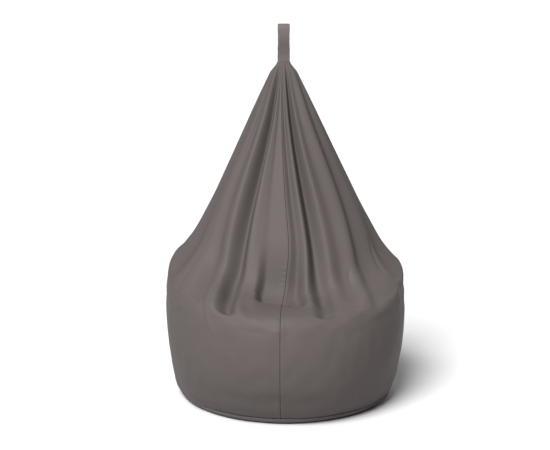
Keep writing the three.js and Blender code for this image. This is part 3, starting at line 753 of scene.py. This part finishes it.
def build_beads(material):
    columns = 2 * INNER_COLUMNS
    azimuths = np.linspace(-math.pi, math.pi, columns, endpoint=False)
    body = inner_surface(azimuths, BEAD_DEPTH, 0.5 * MM)
    foot = np.hypot(body[:, 0, 0], body[:, 0, 1])
    floor = np.stack([polar(azimuths, foot * share, BEAD_FLOOR) for share in (0.3, 0.6, 0.8, 0.9)], 1)
    middle = body[:, -1].mean(0)
    crown = []
    for share in np.linspace(0, 1, 9)[1:-1]:
        ring = body[:, -1] * (1 - share) + middle * share
        ring[:, 2] += BEAD_CROWN * math.sin(share * QUARTER)
        crown.append(ring)
    rings = np.concatenate([floor, body, np.stack(crown, 1)], 1)
    beads = ring_solid("beads", rings, [[0, 0, BEAD_FLOOR], middle + [0, 0, BEAD_CROWN]])
    dress(beads, material, "beads", "bead_fill")


def build_tie(material):
    low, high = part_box("liner_tie")
    middle = (low + high) / 2
    turns, steps, sides = 4, 48, 8
    cord = 1.25 * MM
    pitch = (high.z - low.z - 2 * cord) / (turns - 0.2)
    radius = (high.x - low.x) / 2 - cord - 0.2 * MM
    turn = np.arange(turns * steps + 1) / steps
    angle = turn * 2 * math.pi
    x, y = middle.x + radius * np.cos(angle), middle.y + radius * np.sin(angle)
    path = np.stack([x, y, low.z + cord + pitch * 0.95 * turn], -1)
    tie = tube("inner_liner_tie", path, cord, sides)
    dress(tie, material, "tape", "liner_tie")


def tube_rings(path, radius, sides):
    path = np.array(path, float)
    along = np.gradient(path, axis=0)
    along /= np.linalg.norm(along, axis=1, keepdims=True)
    across = np.cross(along, [0, 0, 1.0])
    flat = np.linalg.norm(across, axis=1) < 1e-3
    across[flat] = np.cross(along[flat], [0, 1.0, 0])
    across /= np.linalg.norm(across, axis=1, keepdims=True)
    up = np.cross(across, along)
    angles = np.arange(sides) * 2 * math.pi / sides
    radius = np.broadcast_to(np.asarray(radius, float), len(path))
    return path[:, None] + radius[:, None, None] * (
        np.cos(angles)[None, :, None] * across[:, None] + np.sin(angles)[None, :, None] * up[:, None])


def tube_faces(rings, sides, first=0):
    faces = []
    for k in range(rings - 1):
        for s in range(sides):
            n = (s + 1) % sides
            here, beyond = first + k * sides, first + (k + 1) * sides
            faces.append([here + s, here + n, beyond + n, beyond + s])
    faces.append([first + s for s in range(sides)][::-1])
    faces.append([first + (rings - 1) * sides + s for s in range(sides)])
    return faces


def tube(name, path, radius, sides):
    return make_mesh(name, tube_rings(path, radius, sides), tube_faces(len(path), sides))


# ---- thread ----
STITCH_LENGTH, STITCH_GAP, THREAD_RADIUS = 3.4 * MM, 0.9 * MM, 0.32 * MM


def resample(path, normals, step):
    path, normals = np.array(path, float), np.array(normals, float)
    along = np.concatenate([[0], np.cumsum(np.linalg.norm(np.diff(path, axis=0), axis=1))])
    count = max(2, int(round(along[-1] / step)) + 1)
    at = np.linspace(0, along[-1], count)
    take = lambda values: np.stack([np.interp(at, along, values[:, k]) for k in range(3)], -1)
    facing = take(normals)
    return take(path), facing / np.linalg.norm(facing, axis=1, keepdims=True)


def stitches(path, normals, length=STITCH_LENGTH, gap=STITCH_GAP, radius=THREAD_RADIUS):
    """A row of sewn stitches on a surface: points and faces. Each dips into its needle holes at both ends."""
    points, faces = [], []
    places, facing = resample(path, normals, length + gap)
    for k in range(len(places) - 1):
        share = np.linspace(0, 1, 7)
        line = places[k] + (places[k + 1] - places[k]) * (share * length / (length + gap))[:, None]
        normal = facing[k] + (facing[k + 1] - facing[k]) * share[:, None]
        crown = np.sin(share * math.pi)**0.5
        line = line + normal * (radius * (1.25 * crown - 0.75))[:, None]
        rings = tube_rings(line, radius * (0.55 + 0.45 * crown), 6)
        faces += tube_faces(len(line), 6, len(points))
        points += rings.reshape(-1, 3).tolist()
    return points, faces


def thread_mesh(name, rows, material, body, slot_name):
    points, faces = [], []
    for row in rows:
        more, more_faces = stitches(*row)
        faces += [[i + len(points) for i in face] for face in more_faces]
        points += more
    obj = make_mesh(name, points, faces)
    dress(obj, material, slot_name, body=body)
    return obj


# ---- strap ----
STRAP_PIVOT = (-0.005, 0.060, 0.9195)
STRAP_WIDTH, STRAP_THICKNESS, LOOP_TOP, LOOP_HALF_DEPTH = 0.033, 2.2 * MM, 1.0135, 0.0138
STRAP_END, STRAP_LEG = 0.876, 1.35 * MM
STRAP_OPENS, LOOP_MIDDLE, STRAP_WAIST, STRAP_WIDEST = 0.921, 0.96, 0.972, 0.983
STRAP_SHOWS = 0.9225
STITCH_COLUMN = 12 * MM
STRAP_STITCH = (2.5 * MM, 0.9 * MM, 0.3 * MM)  # length, gap and thread radius


def strap_line(steps):
    """The middle of the strap, from its front end inside the apex round the loop to its back end."""
    share = np.linspace(0, 1, steps)
    height = STRAP_END + (STRAP_WIDEST - STRAP_END) * share
    side = LOOP_HALF_DEPTH - STRAP_THICKNESS / 2
    spread = STRAP_LEG + (side - STRAP_LEG) * ease((height - STRAP_OPENS) / (STRAP_WIDEST - STRAP_OPENS))
    angle = np.linspace(0, math.pi, steps)[1:-1]
    top = LOOP_TOP - STRAP_THICKNESS / 2
    reach = np.sign(np.cos(angle)) * np.abs(np.cos(angle))**0.95
    arch = STRAP_WIDEST + (top - STRAP_WIDEST) * np.sin(angle)**0.72
    depth = np.concatenate([-spread, -side * reach, spread[::-1]])
    line = np.stack([0 * depth, depth, np.concatenate([height, arch, height[::-1]])], -1)
    return resample(line, np.tile([0, 0, 1.0], (len(depth), 1)), 0.8 * MM)[0]


def strap_frame():
    """The strap's middle line, smoothed, and the direction out of its loop at each point."""
    line = strap_line(160)
    kernel = np.ones(7) / 7
    for axis in (1, 2):
        line[3:-3, axis] = np.convolve(line[:, axis], kernel, "valid")
    along = np.gradient(line, axis=0)
    along /= np.linalg.norm(along, axis=1, keepdims=True)
    out = np.cross([1.0, 0, 0], along)
    return line, out * np.sign((out * (line - [0, 0, LOOP_MIDDLE])).sum(1).mean())


def strap_width(height):
    waist = 1 - 0.05 * np.exp(-((height - STRAP_WAIST) / 0.022)**2)
    return STRAP_WIDTH / 2 * waist * (1 + 0.012 * np.sin(height * 260))


def build_strap(material, thread):
    line, out = strap_frame()
    middle = np.array([STRAP_PIVOT[0], STRAP_PIVOT[1], 0])
    u = np.linspace(-1, 1, 49)
    u = np.sign(u) * np.abs(u)**0.8
    half = STRAP_THICKNESS / 2
    edge = (1 - np.abs(u)**9)**0.5
    plump = half * edge * (0.93 + 0.07 * np.cos(u * math.pi))
    across = u * strap_width(line[:, 2:3])
    groove = 0.28 * MM * sum(np.exp(-((across - s * STITCH_COLUMN) / (0.8 * MM))**2) for s in (-1, 1))
    rubs = 0.07 * MM * np.sin(line[:, 2:3] * 900 + 4 * u) * (1 - u**2)
    rings = []
    for side, order in ((1, slice(None)), (-1, slice(-2, 0, -1))):
        thick = np.maximum(plump - groove + rubs * side, 0.25 * MM * edge)
        surface = line[:, None] + out[:, None] * (side * thick)[..., None]
        surface[..., 0] += across
        rings.append(surface[:, order])
    rings = np.concatenate(rings, 1) + middle
    sides = rings.shape[1]
    strap = make_mesh("strap", rings, tube_faces(len(line), sides))
    wear_and_valley_shade = np.zeros(rings.shape[:2])
    for rubbed in (slice(0, 4), slice(len(u) - 4, len(u) + 3), slice(-3, None)):
        wear_and_valley_shade[:, rubbed] = 0.9
    store_wear_and_valley_shade(strap, wear_and_valley_shade)
    dress(strap, material, "strap", "handle_loop", "handle_root", body=None)
    shown = line[:, 2] > STRAP_SHOWS
    rows = []
    for sign in (-1, 1):
        path = line + out * (half - 0.10 * MM) + middle
        path[:, 0] += sign * STITCH_COLUMN
        rows.append((path[shown], out[shown], *STRAP_STITCH))
    sewn = thread_mesh("strap_stitching", rows, thread, None, "strap")
    for piece in (strap, sewn):
        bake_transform(piece)


# ---- zip ----
ZIP_CENTRE_Y = HALF_DEPTH - SIDE_ARC
TAPE_INNER, TAPE_OUTER, TAPE_DEPTH = 3.3 * MM, 15 * MM, 2.6 * MM
TAPE_THICKNESS, TAPE_OVERRUN = 0.6 * MM, 0.010
GUARD_HALF_WIDTH, GUARD_DEPTH = 0.020, 6.8 * MM
COIL_PITCH, COIL_WIRE, COIL_MIDDLE, COIL_REACH = 1.3 * MM, 0.34 * MM, 1.50 * MM, 1.60 * MM
COIL_DEPTH, COIL_HALF_DEPTH = 2.9 * MM, 0.85 * MM
TEETH_LOW, SLIDER_REST, SLIDER_LENGTH = 0.064, 0.382, 12 * MM


def zip_angle(height):
    return np.arcsin((height - WIDEST_HEIGHT) / SIDE_ARC)


def zip_point(angle, sideways, depth):
    """A point of the zip from its angle up the back wall's arc, its place across and its depth."""
    radius = SIDE_ARC - depth
    y, z = ZIP_CENTRE_Y + radius * np.cos(angle), WIDEST_HEIGHT + radius * np.sin(angle)
    return np.stack(np.broadcast_arrays(sideways, y, z), -1)


def side_of(node):
    """1 for a CAD node on the right of the zip and -1 for one on its left."""
    low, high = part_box(node)
    return 1 if low.x + high.x > 0 else -1


def zip_strip(name, node, left, right, depth, material, hem):
    """A strip of cloth along the zip. The hem gives its thickness at each share of the way across."""
    low, high = zip_angle(SLOT_LOW - TAPE_OVERRUN), zip_angle(SLOT_HIGH + TAPE_OVERRUN)
    angle = np.linspace(low, high, 260)[None, :]
    u = np.linspace(0, 1, 25)[:, None]
    across = left + (right - left) * u
    thick = TAPE_THICKNESS * hem(u) + 0 * angle
    wave = 0.10 * MM * np.sin(angle * SIDE_ARC / (9 * MM)) * np.sin(u * 5)
    outside = zip_point(angle, across, depth + wave - (thick - TAPE_THICKNESS) / 2)
    inside = zip_point(angle, across, depth + wave + (thick + TAPE_THICKNESS) / 2)
    faces = [face[::-1] for face in shell_faces(*outside.shape[:2])]
    strip = make_mesh(name, np.stack([outside, inside]), faces)
    dress(strip, material, "tape", node)


def build_tapes(material):
    for word in ("left", "right"):
        node = "zip_tape_" + word
        sign = side_of(node)
        left, right = sorted([sign * TAPE_INNER, sign * TAPE_OUTER])
        hem = lambda u, s=sign: 1 + 0.5 * np.exp(-((u if s > 0 else 1 - u) / 0.08)**2)
        zip_strip("zip_tape_visual_" + word, node, left, right, TAPE_DEPTH, material, hem)
    hem = lambda u: 1 + 0.7 * np.exp(-(np.minimum(u, 1 - u) / 0.10)**4)
    left, right = -GUARD_HALF_WIDTH, GUARD_HALF_WIDTH
    zip_strip("zip_guard_visual", "zip_guard", left, right, GUARD_DEPTH, material, hem)


def build_teeth(material):
    for word in ("left", "right"):
        sign = side_of("zip_teeth_" + word)
        length = SIDE_ARC * (zip_angle(SLIDER_REST) - zip_angle(TEETH_LOW))
        turns = int(length / COIL_PITCH)
        t = np.linspace(0, turns * 2 * math.pi, turns * 9 + 1)
        angle = zip_angle(TEETH_LOW) + (t / (2 * math.pi) + (0.5 if sign > 0 else 0)) * COIL_PITCH / SIDE_ARC
        sideways = sign * (COIL_MIDDLE - COIL_REACH * np.cos(t))
        path = zip_point(angle, sideways, COIL_DEPTH + COIL_HALF_DEPTH * np.sin(t))
        coil = make_mesh("zip_coil_" + word, tube_rings(path, COIL_WIRE, 6), tube_faces(len(path), 6))
        dress(coil, material, "zip_teeth", "zip_teeth_" + word)


def plate_mesh(outline, depth, thickness, round_over, dome):
    """The rings of a plate: an outline (across, along) between two depths, with rounded edges."""
    outline = np.array(outline)
    middle = outline.mean(0)
    from_middle = outline - middle
    out = []
    for share, drop in ((0.0, 0), (0.5, 0), (0.82, 0), (1, 0.3), (1, 0.7), (1, 1), (0.5, 1), (0, 1)):
        inset = round_over if drop in (0, 1) and share > 0.6 else 0
        ring = middle + from_middle * share
        if share > 0.6:
            ring = ring - from_middle / np.linalg.norm(from_middle, axis=1, keepdims=True) * inset
        level = depth + thickness * drop
        crown = -dome * (1 - share**2) if drop == 0 else 0
        out.append(np.column_stack([ring, np.full(len(ring), level + crown)]))
    return np.array(out)


def add_solid(points, faces, rings):
    first = len(points)
    rows, columns = rings.shape[:2]
    points += rings.reshape(-1, 3).tolist()
    i = np.arange(columns)
    n = (i + 1) % columns
    for k in range(rows - 1):
        here, beyond = first + k * columns, first + (k + 1) * columns
        faces += np.stack([here + i, here + n, beyond + n, beyond + i], -1).tolist()


def rounded_outline(corners, radius, steps=6):
    """A closed outline with each corner rounded."""
    corners = np.array(corners, float)
    out = []
    for k in range(len(corners)):
        before, here, after = corners[k - 1], corners[k], corners[(k + 1) % len(corners)]
        a = here + (before - here) / np.linalg.norm(before - here) * radius
        b = here + (after - here) / np.linalg.norm(after - here) * radius
        for t in np.linspace(0, 1, steps):
            out.append((1 - t)**2 * a + 2 * t * (1 - t) * here + t**2 * b)
    return out


def face_outwards(obj, merge=None):
    """Turns all faces outwards, after joining points that are closer than the merging distance."""
    mesh = bmesh.new()
    mesh.from_mesh(obj.data)
    if merge:
        bmesh.ops.remove_doubles(mesh, verts=mesh.verts, dist=merge)
    bmesh.ops.recalc_face_normals(mesh, faces=mesh.faces)
    mesh.to_mesh(obj.data)
    mesh.free()


def metal_piece(name, node, solids, angle, material, body):
    """Solids given as rings of (across, along, depth), laid along the zip from an angle."""
    points, faces = [], []
    for rings in solids:
        add_solid(points, faces, rings)
    points = np.array(points)
    placed = zip_point(angle + points[:, 1] / SIDE_ARC, points[:, 0], points[:, 2])
    obj = make_mesh(name, placed, faces)
    face_outwards(obj, merge=1e-7)
    dress(obj, material, "zip_metal", node, body=body)


def box_outline(middle, half_width, low, high, radius, steps=6):
    left, right = middle - half_width, middle + half_width
    return rounded_outline([(left, low), (right, low), (right, high), (left, high)], radius, steps)


def build_slider(material):
    half, end = 5.2 * MM, SLIDER_LENGTH / 2
    right_side = [(3.6 * MM, -end), (half, 0.6 * MM), (half, end), (1.2 * MM, end)]
    notch = [(0, end - 1.6 * MM)]
    left_side = [(-x, y) for x, y in reversed(right_side)]
    body = rounded_outline(left_side[-1:] + right_side + notch + left_side[:-1], 0.55 * MM)
    wedge_right = [(1.3 * MM, end - 1.2 * MM), (0.6 * MM, end - 1.4 * MM)]
    wedge_left = [(-x, y) for x, y in reversed(wedge_right)]
    wedge = rounded_outline([(0, 0.2 * MM)] + wedge_right + wedge_left, 0.25 * MM, 4)
    crown = box_outline(0, 0.9 * MM, -2.6 * MM, 2.8 * MM, 0.6 * MM)
    solids = [
        plate_mesh(body, -0.15 * MM, 1.45 * MM, 0.28 * MM, 0.05 * MM),
        plate_mesh(body, 4.5 * MM, 1.4 * MM, 0.28 * MM, 0),
        plate_mesh(wedge, 0.8 * MM, 4.2 * MM, 0, 0),
        plate_mesh(crown, -0.75 * MM, 0.9 * MM, 0.3 * MM, 0.15 * MM),
    ]
    for sign in (-1, 1):
        inner, outer, top = sign * 4.35 * MM, sign * half, end - 0.5 * MM
        corners = [(inner, -1.2 * MM), (outer, -0.4 * MM), (outer, top), (inner, top)]
        flange = rounded_outline(corners[::sign], 0.3 * MM, 4)
        solids.append(plate_mesh(flange, 0.9 * MM, 1.2 * MM, 0.15 * MM, 0))
        solids.append(plate_mesh(flange, 3.75 * MM, 1.0 * MM, 0.15 * MM, 0))
    metal_piece("zip_slider_visual", "zip_slider", solids, zip_angle(SLIDER_REST), material, "slider")


def build_stop(node, material):
    """A stop clamped round the tape: two prongs and the bridge between them."""
    low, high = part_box(node)
    angle = zip_angle((low.z + high.z) / 2)
    half_length = (high.z - low.z) / 2 / math.cos(angle) * 0.96
    depth, thickness = 1.9 * MM, 2.2 * MM
    middle, half_width = (low.x + high.x) / 2, (high.x - low.x) / 2
    parts = []
    for sign in (-1, 1):
        place, reach = sign * half_length * 0.52, half_length * 0.46
        prong = box_outline(middle, half_width, place - reach, place + reach, 0.3 * MM, 5)
        parts.append(plate_mesh(prong, depth, thickness, 0.2 * MM, 0.1 * MM))
    bridge = box_outline(middle, half_width * 0.8, -half_length * 0.8, half_length * 0.8, 0.3 * MM, 5)
    parts.append(plate_mesh(bridge, depth + 0.25 * MM, thickness - 0.5 * MM, 0.1 * MM, 0))
    metal_piece(node + "_visual", node, parts, angle, material, "bag")


def build_zip_metal(material):
    build_slider(material)
    for node in ("zip_top_stop_left", "zip_top_stop_right", "zip_bottom_stop"):
        build_stop(node, material)


# ---- lines on the cover ----
LAST_AZIMUTH = 1.04 * math.pi  # beyond it azimuths count from the other side


def cover_line(offsets, heights, side):
    """Points on a back panel at distances from the back seam and at heights, with their normals. The side
    is 1 for the right panel and -1 for the left."""
    offsets, heights = np.array(offsets, float), np.array(heights, float)
    columns = np.linspace(-0.002, 0.002, 5)
    spine, _, _, span = (values[0] for values in plain_cover(every_row(math.pi)))
    rows = np.interp(heights, spine[:, 2], np.arange(len(spine)))
    gap = SLOT_HALF_WIDTH if SLOT_LOW < heights.mean() < SLOT_HIGH else SEAM_HALF_GAP
    places, facing = [], []
    for offset, row in zip(offsets, rows):
        azimuth = math.pi - side * (offset + columns[:, None]) / span[None, :]
        azimuth = np.where(azimuth > LAST_AZIMUTH, azimuth - 2 * math.pi, azimuth)
        low = max(0, int(row) - 2)
        part = slice(low, low + 6)
        azimuth = azimuth[:, part]
        points, above, level, spans = plain_cover(azimuth, part)
        normals = grid_normals(points)
        normals *= np.sign((normals[..., 1:2]).mean())
        _, height = cover_height(points, azimuth, above, level, spans)
        from_seam = np.full(height.shape, offset - gap)
        height = height + allowance_step(from_seam, level) - seam_edge(from_seam)
        surface = points + normals * height[..., None]
        k, share = int(row) - low, row - int(row)
        places.append(surface[2, k] * (1 - share) + surface[2, k + 1] * share)
        facing.append(normals[2, k] * (1 - share) + normals[2, k + 1] * share)
    return np.array(places), np.array(facing)


ZIP_STITCH_EDGE = SLOT_HALF_WIDTH + 3.6 * MM
ZIP_STITCH_END, ZIP_STITCH_TURN = 14.5 * MM, 1 * MM  # beyond the slot's ends


def build_zip_stitching(thread):
    heights = np.linspace(SLOT_LOW - ZIP_STITCH_TURN, SLOT_HIGH + ZIP_STITCH_TURN, 120)
    rows = [cover_line(np.full(120, ZIP_STITCH_EDGE), heights, side) for side in (-1, 1)]
    low_end = SLOT_LOW - ZIP_STITCH_END, SLOT_LOW - ZIP_STITCH_TURN
    high_end = SLOT_HIGH + ZIP_STITCH_TURN, SLOT_HIGH + ZIP_STITCH_END
    for height, ends in ((low_end[0], low_end), (high_end[1], high_end)):
        for side in (-1, 1):
            rows.append(cover_line(np.linspace(1.6 * MM, ZIP_STITCH_EDGE, 12), np.full(12, height), side))
            rows.append(cover_line(np.full(12, ZIP_STITCH_EDGE), np.linspace(*ends, 12), side))
    thread_mesh("zip_stitching", rows, thread, "bag", "cover")


LABEL_WIDTH, LABEL_TALL, LABEL_THICKNESS = 33 * MM, 25 * MM, 0.5 * MM
LABEL_LOW, LABEL_HIGH = 0.427, 0.4445
LABEL_STITCH = (1.8 * MM, 0.7 * MM, 0.2 * MM)  # length, gap and thread radius


def build_label(material, thread):
    heights = np.linspace(LABEL_LOW, LABEL_HIGH, 13)
    outside = []
    for u in np.linspace(0, 1, 25):
        places, facing = cover_line(np.full(len(heights), 1.0 * MM + LABEL_WIDTH * u), heights, 1)
        lift = 1.3 * MM + 3.2 * MM * u**2.2 + 0.9 * MM * np.sin(u * 4.5) * np.linspace(-1, 1, len(heights))
        outside.append(places + facing * lift[:, None])
    outside = np.array(outside)
    normals = grid_normals(outside)
    normals *= np.sign(normals[..., 1].mean())
    inside = outside - normals * LABEL_THICKNESS
    label = make_mesh("care_label_visual", np.stack([outside, inside]), shell_faces(*outside.shape[:2]))
    face_outwards(label)
    dress(label, material, "label", "care_label")
    row = outside[3] + normals[3] * 0.05 * MM
    thread_mesh("label_stitching", [(row, normals[3], *LABEL_STITCH)], thread, "bag", "label")


# ---- materials ----
def node_of(tree, kind, **settings):
    node = tree.nodes.new(kind)
    for key, value in settings.items():
        if key in node.inputs:
            node.inputs[key].default_value = value
        else:
            setattr(node, key, value)
    return node


def base_material(name, colour, roughness, specular):
    material = bpy.data.materials.new(name)
    material.use_nodes = True
    shader = material.node_tree.nodes["Principled BSDF"]
    shader.inputs["Base Color"].default_value = (*colour, 1)
    shader.inputs["Roughness"].default_value = roughness
    shader.inputs["Specular IOR Level"].default_value = specular
    return material, material.node_tree, shader


def pattern(tree, kind, output="Fac", **settings):
    """A procedural texture laid on the piece's own coordinates."""
    place = node_of(tree, "ShaderNodeTexCoord")
    texture = node_of(tree, "ShaderNodeTex" + kind, **settings)
    tree.links.new(place.outputs["Object"], texture.inputs["Vector"])
    return texture.outputs[output]


def scaled_plus(tree, source, factor, other):
    """The source times a factor, plus a number or another output."""
    node = node_of(tree, "ShaderNodeMath", operation="MULTIPLY_ADD")
    node.inputs[1].default_value = factor
    tree.links.new(source, node.inputs[0])
    if isinstance(other, float):
        node.inputs[2].default_value = other
    else:
        tree.links.new(other, node.inputs[2])
    return node.outputs[0]


def mapped(tree, source, low, high, from_low=0.0, from_high=1.0):
    node = node_of(tree, "ShaderNodeMapRange")
    for name, value in (("From Min", from_low), ("From Max", from_high), ("To Min", low), ("To Max", high)):
        node.inputs[name].default_value = value
    tree.links.new(source, node.inputs["Value"])
    return node.outputs[0]


def tint_with(tree, shader, colour, shade):
    tint = node_of(tree, "ShaderNodeMixRGB", blend_type="MULTIPLY", Fac=1.0, Color1=(*colour, 1))
    tree.links.new(shade, tint.inputs["Color2"])
    tree.links.new(tint.outputs[0], shader.inputs["Base Color"])


def bump_with(tree, shader, relief, strength, distance, invert=False):
    bump = node_of(tree, "ShaderNodeBump", Strength=strength, Distance=distance, invert=invert)
    tree.links.new(relief, bump.inputs["Height"])
    tree.links.new(bump.outputs["Normal"], shader.inputs["Normal"])


def leather(name, colour, specular):
    """Smooth faux leather: a fine pebble grain, slow changes of colour, crests lighter where rubbed and
    valleys darkened with painted shade.
    """
    material, tree, shader = base_material(name, colour, 0.5, specular)
    patches = pattern(tree, "Noise", Scale=7.0, Detail=3.0)
    mottle = pattern(tree, "Noise", Scale=160.0, Detail=2.0)
    wear_and_valley_shade = node_of(tree, "ShaderNodeAttribute", attribute_name="wear_and_valley_shade").outputs["Fac"]
    shade = scaled_plus(tree, mottle, 0.10, scaled_plus(tree, patches, 0.16, 0.92))
    # Painted shade: the fold valleys are darkened by their depth, while the crests are lightened as rubbed
    # wear.
    tint_with(tree, shader, colour, scaled_plus(tree, wear_and_valley_shade, 0.05, shade))
    tree.links.new(mapped(tree, patches, 0.52, 0.62, 0.3, 0.7), shader.inputs["Roughness"])
    grain = pattern(tree, "Voronoi", "Distance", feature="SMOOTH_F1", Scale=1050.0, Smoothness=0.6)
    creases = pattern(tree, "Noise", Scale=420.0, Detail=4.0, Roughness=0.6)
    bump_with(tree, shader, scaled_plus(tree, creases, 0.5, grain), 0.22, 0.4 * MM)
    return material


def cloth(name, colour, scale, contrast=0.25):
    """A plain weave: two crossed waves, with a little unevenness in the yarn."""
    material, tree, shader = base_material(name, colour, 0.9, 0.1)
    noise = pattern(tree, "Noise", Scale=60.0, Detail=3.0)
    weave = node_of(tree, "ShaderNodeMath", operation="MULTIPLY")
    for socket, direction in zip(weave.inputs, "ZX"):
        tree.links.new(pattern(tree, "Wave", bands_direction=direction, Scale=scale, Distortion=0.3), socket)
    mixed = scaled_plus(tree, weave.outputs[0], contrast, noise)
    tint_with(tree, shader, colour, mapped(tree, mixed, 0.8, 1.15))
    bump_with(tree, shader, mixed, 0.4, 0.3 * MM)
    return material


def foam(name, colour):
    """Expanded polystyrene beads about 4 mm across, with painted shade in the gaps between them."""
    material, tree, shader = base_material(name, colour, 0.7, 0.2)
    beads = pattern(tree, "Voronoi", "Distance", Scale=240.0)
    # Painted shade: each bead darkens towards its edge, in the gaps between beads.
    tint_with(tree, shader, colour, mapped(tree, beads, 1.0, 0.55, 0.0, 0.7))
    bump_with(tree, shader, beads, 0.9, 2 * MM, invert=True)
    return material


def twisted(name, colour):
    """Twisted polyester thread: fine slanting bands."""
    material, tree, shader = base_material(name, colour, 0.6, 0.3)
    twist = pattern(tree, "Wave", bands_direction="DIAGONAL", Scale=900.0, Distortion=1.0)
    tint_with(tree, shader, colour, mapped(tree, twist, 0.75, 1.1))
    bump_with(tree, shader, twist, 0.5, 0.1 * MM)
    return material


def scuffed(name, colour, roughness, metallic):
    """Painted metal or moulded plastic with faint scuffs and duller patches."""
    material, tree, shader = base_material(name, colour, roughness, 0.5)
    shader.inputs["Metallic"].default_value = metallic
    scuffs = pattern(tree, "Noise", Scale=900.0, Detail=5.0, Roughness=0.7)
    patches = pattern(tree, "Noise", Scale=180.0, Detail=2.0)
    rub = mapped(tree, patches, roughness - 0.1, roughness + 0.15, 0.35, 0.7)
    tree.links.new(rub, shader.inputs["Roughness"])
    tint_with(tree, shader, colour, mapped(tree, scuffs, 0.8, 1.25))
    bump_with(tree, shader, scuffs, 0.15, 0.1 * MM)
    return material


# ---- stage ----
FLOOR_SIZE, FLOOR_TONE = 60, 0.66
SOFT_LIGHT, BACKDROP = 0.13, 1.1
KEY_TOWARDS, KEY_STRENGTH, KEY_SPREAD = (0.29, 0.64, -0.79), 5.9, 30
# The fill light comes from behind, so that the back shows.
FILL_TOWARDS, FILL_STRENGTH, FILL_SPREAD = (-0.25, -0.80, -0.55), 0.9, 60
CAMERA_PLACE, CAMERA_TARGET, CAMERA_LENS = (0, -3.4, 1.1), (-0.028, 0, 0.474), 83.3
WHITE = (1, 1, 1, 1)


def build_stage():
    bpy.ops.mesh.primitive_plane_add(size=FLOOR_SIZE, location=(0, 0, 0))
    floor = bpy.context.object
    floor.name = "floor"
    material, _, _ = base_material("floor", [FLOOR_TONE] * 3, 0.9, 0.1)
    floor.data.materials.append(material)


def sun(name, towards, strength, spread):
    light = bpy.data.lights.new(name, "SUN")
    light.energy = strength
    light.angle = math.radians(spread)
    obj = bpy.data.objects.new(name, light)
    obj.rotation_euler = Vector(towards).to_track_quat("-Z", "Y").to_euler()
    bpy.context.scene.collection.objects.link(obj)


def build_lights():
    world = bpy.data.worlds.new("studio")
    bpy.context.scene.world = world
    world.use_nodes = True
    tree = world.node_tree
    soft = tree.nodes["Background"]
    soft.inputs["Color"].default_value = WHITE
    soft.inputs["Strength"].default_value = SOFT_LIGHT
    backdrop = node_of(tree, "ShaderNodeBackground", Color=WHITE, Strength=BACKDROP)
    path = node_of(tree, "ShaderNodeLightPath")
    mix = node_of(tree, "ShaderNodeMixShader")
    sources = (path.outputs["Is Camera Ray"], soft.outputs[0], backdrop.outputs[0])
    for socket, source in zip(mix.inputs, sources):
        tree.links.new(source, socket)
    tree.links.new(mix.outputs[0], tree.nodes["World Output"].inputs["Surface"])
    sun("key", KEY_TOWARDS, KEY_STRENGTH, KEY_SPREAD)
    sun("fill", FILL_TOWARDS, FILL_STRENGTH, FILL_SPREAD)


def build_camera():
    camera = bpy.data.cameras.new("camera")
    camera.sensor_width = 36
    camera.lens = CAMERA_LENS
    obj = bpy.data.objects.new("camera", camera)
    obj.location = CAMERA_PLACE
    towards = Vector(CAMERA_TARGET) - obj.location
    obj.rotation_euler = towards.to_track_quat("-Z", "Y").to_euler()
    bpy.context.scene.collection.objects.link(obj)
    bpy.context.scene.camera = obj


build_camera()
build_stage()
build_lights()
cover_leather = leather("cover_leather", (0.080, 0.0687, 0.066), 0.10)
# Painted light: the base's leather is a lighter copy of the cover's, to lighten its rim where it is shaded at
# the floor.
base_leather_painted_light = leather("base_leather_painted_light", (0.098, 0.087, 0.088), 0.10)
strap_leather = leather("strap_leather", (0.108, 0.0925, 0.0895), 0.12)
liner_cloth = cloth("liner_cloth", (0.81, 0.79, 0.75), 700)
tape_cloth = cloth("tape_cloth", (0.07, 0.061, 0.058), 420)
label_cloth = cloth("label_cloth", (0.80, 0.78, 0.74), 600, contrast=0.15)
bead_foam = foam("bead_foam", (0.92, 0.92, 0.90))
thread = twisted("thread", (0.24, 0.21, 0.20))
coil_plastic = scuffed("coil_plastic", (0.05, 0.044, 0.042), 0.4, 0)
zip_paint = scuffed("zip_paint", (0.07, 0.065, 0.062), 0.38, 0.35)
build_cover(cover_leather)
build_base(base_leather_painted_light)
build_strap(strap_leather, thread)
build_tapes(tape_cloth)
build_teeth(coil_plastic)
build_zip_metal(zip_paint)
build_zip_stitching(thread)
build_label(label_cloth, thread)
build_liner(liner_cloth)
build_liner_base(liner_cloth)
build_beads(bead_foam)
build_tie(tape_cloth)
bpy.context.scene.view_settings.view_transform = "Standard"
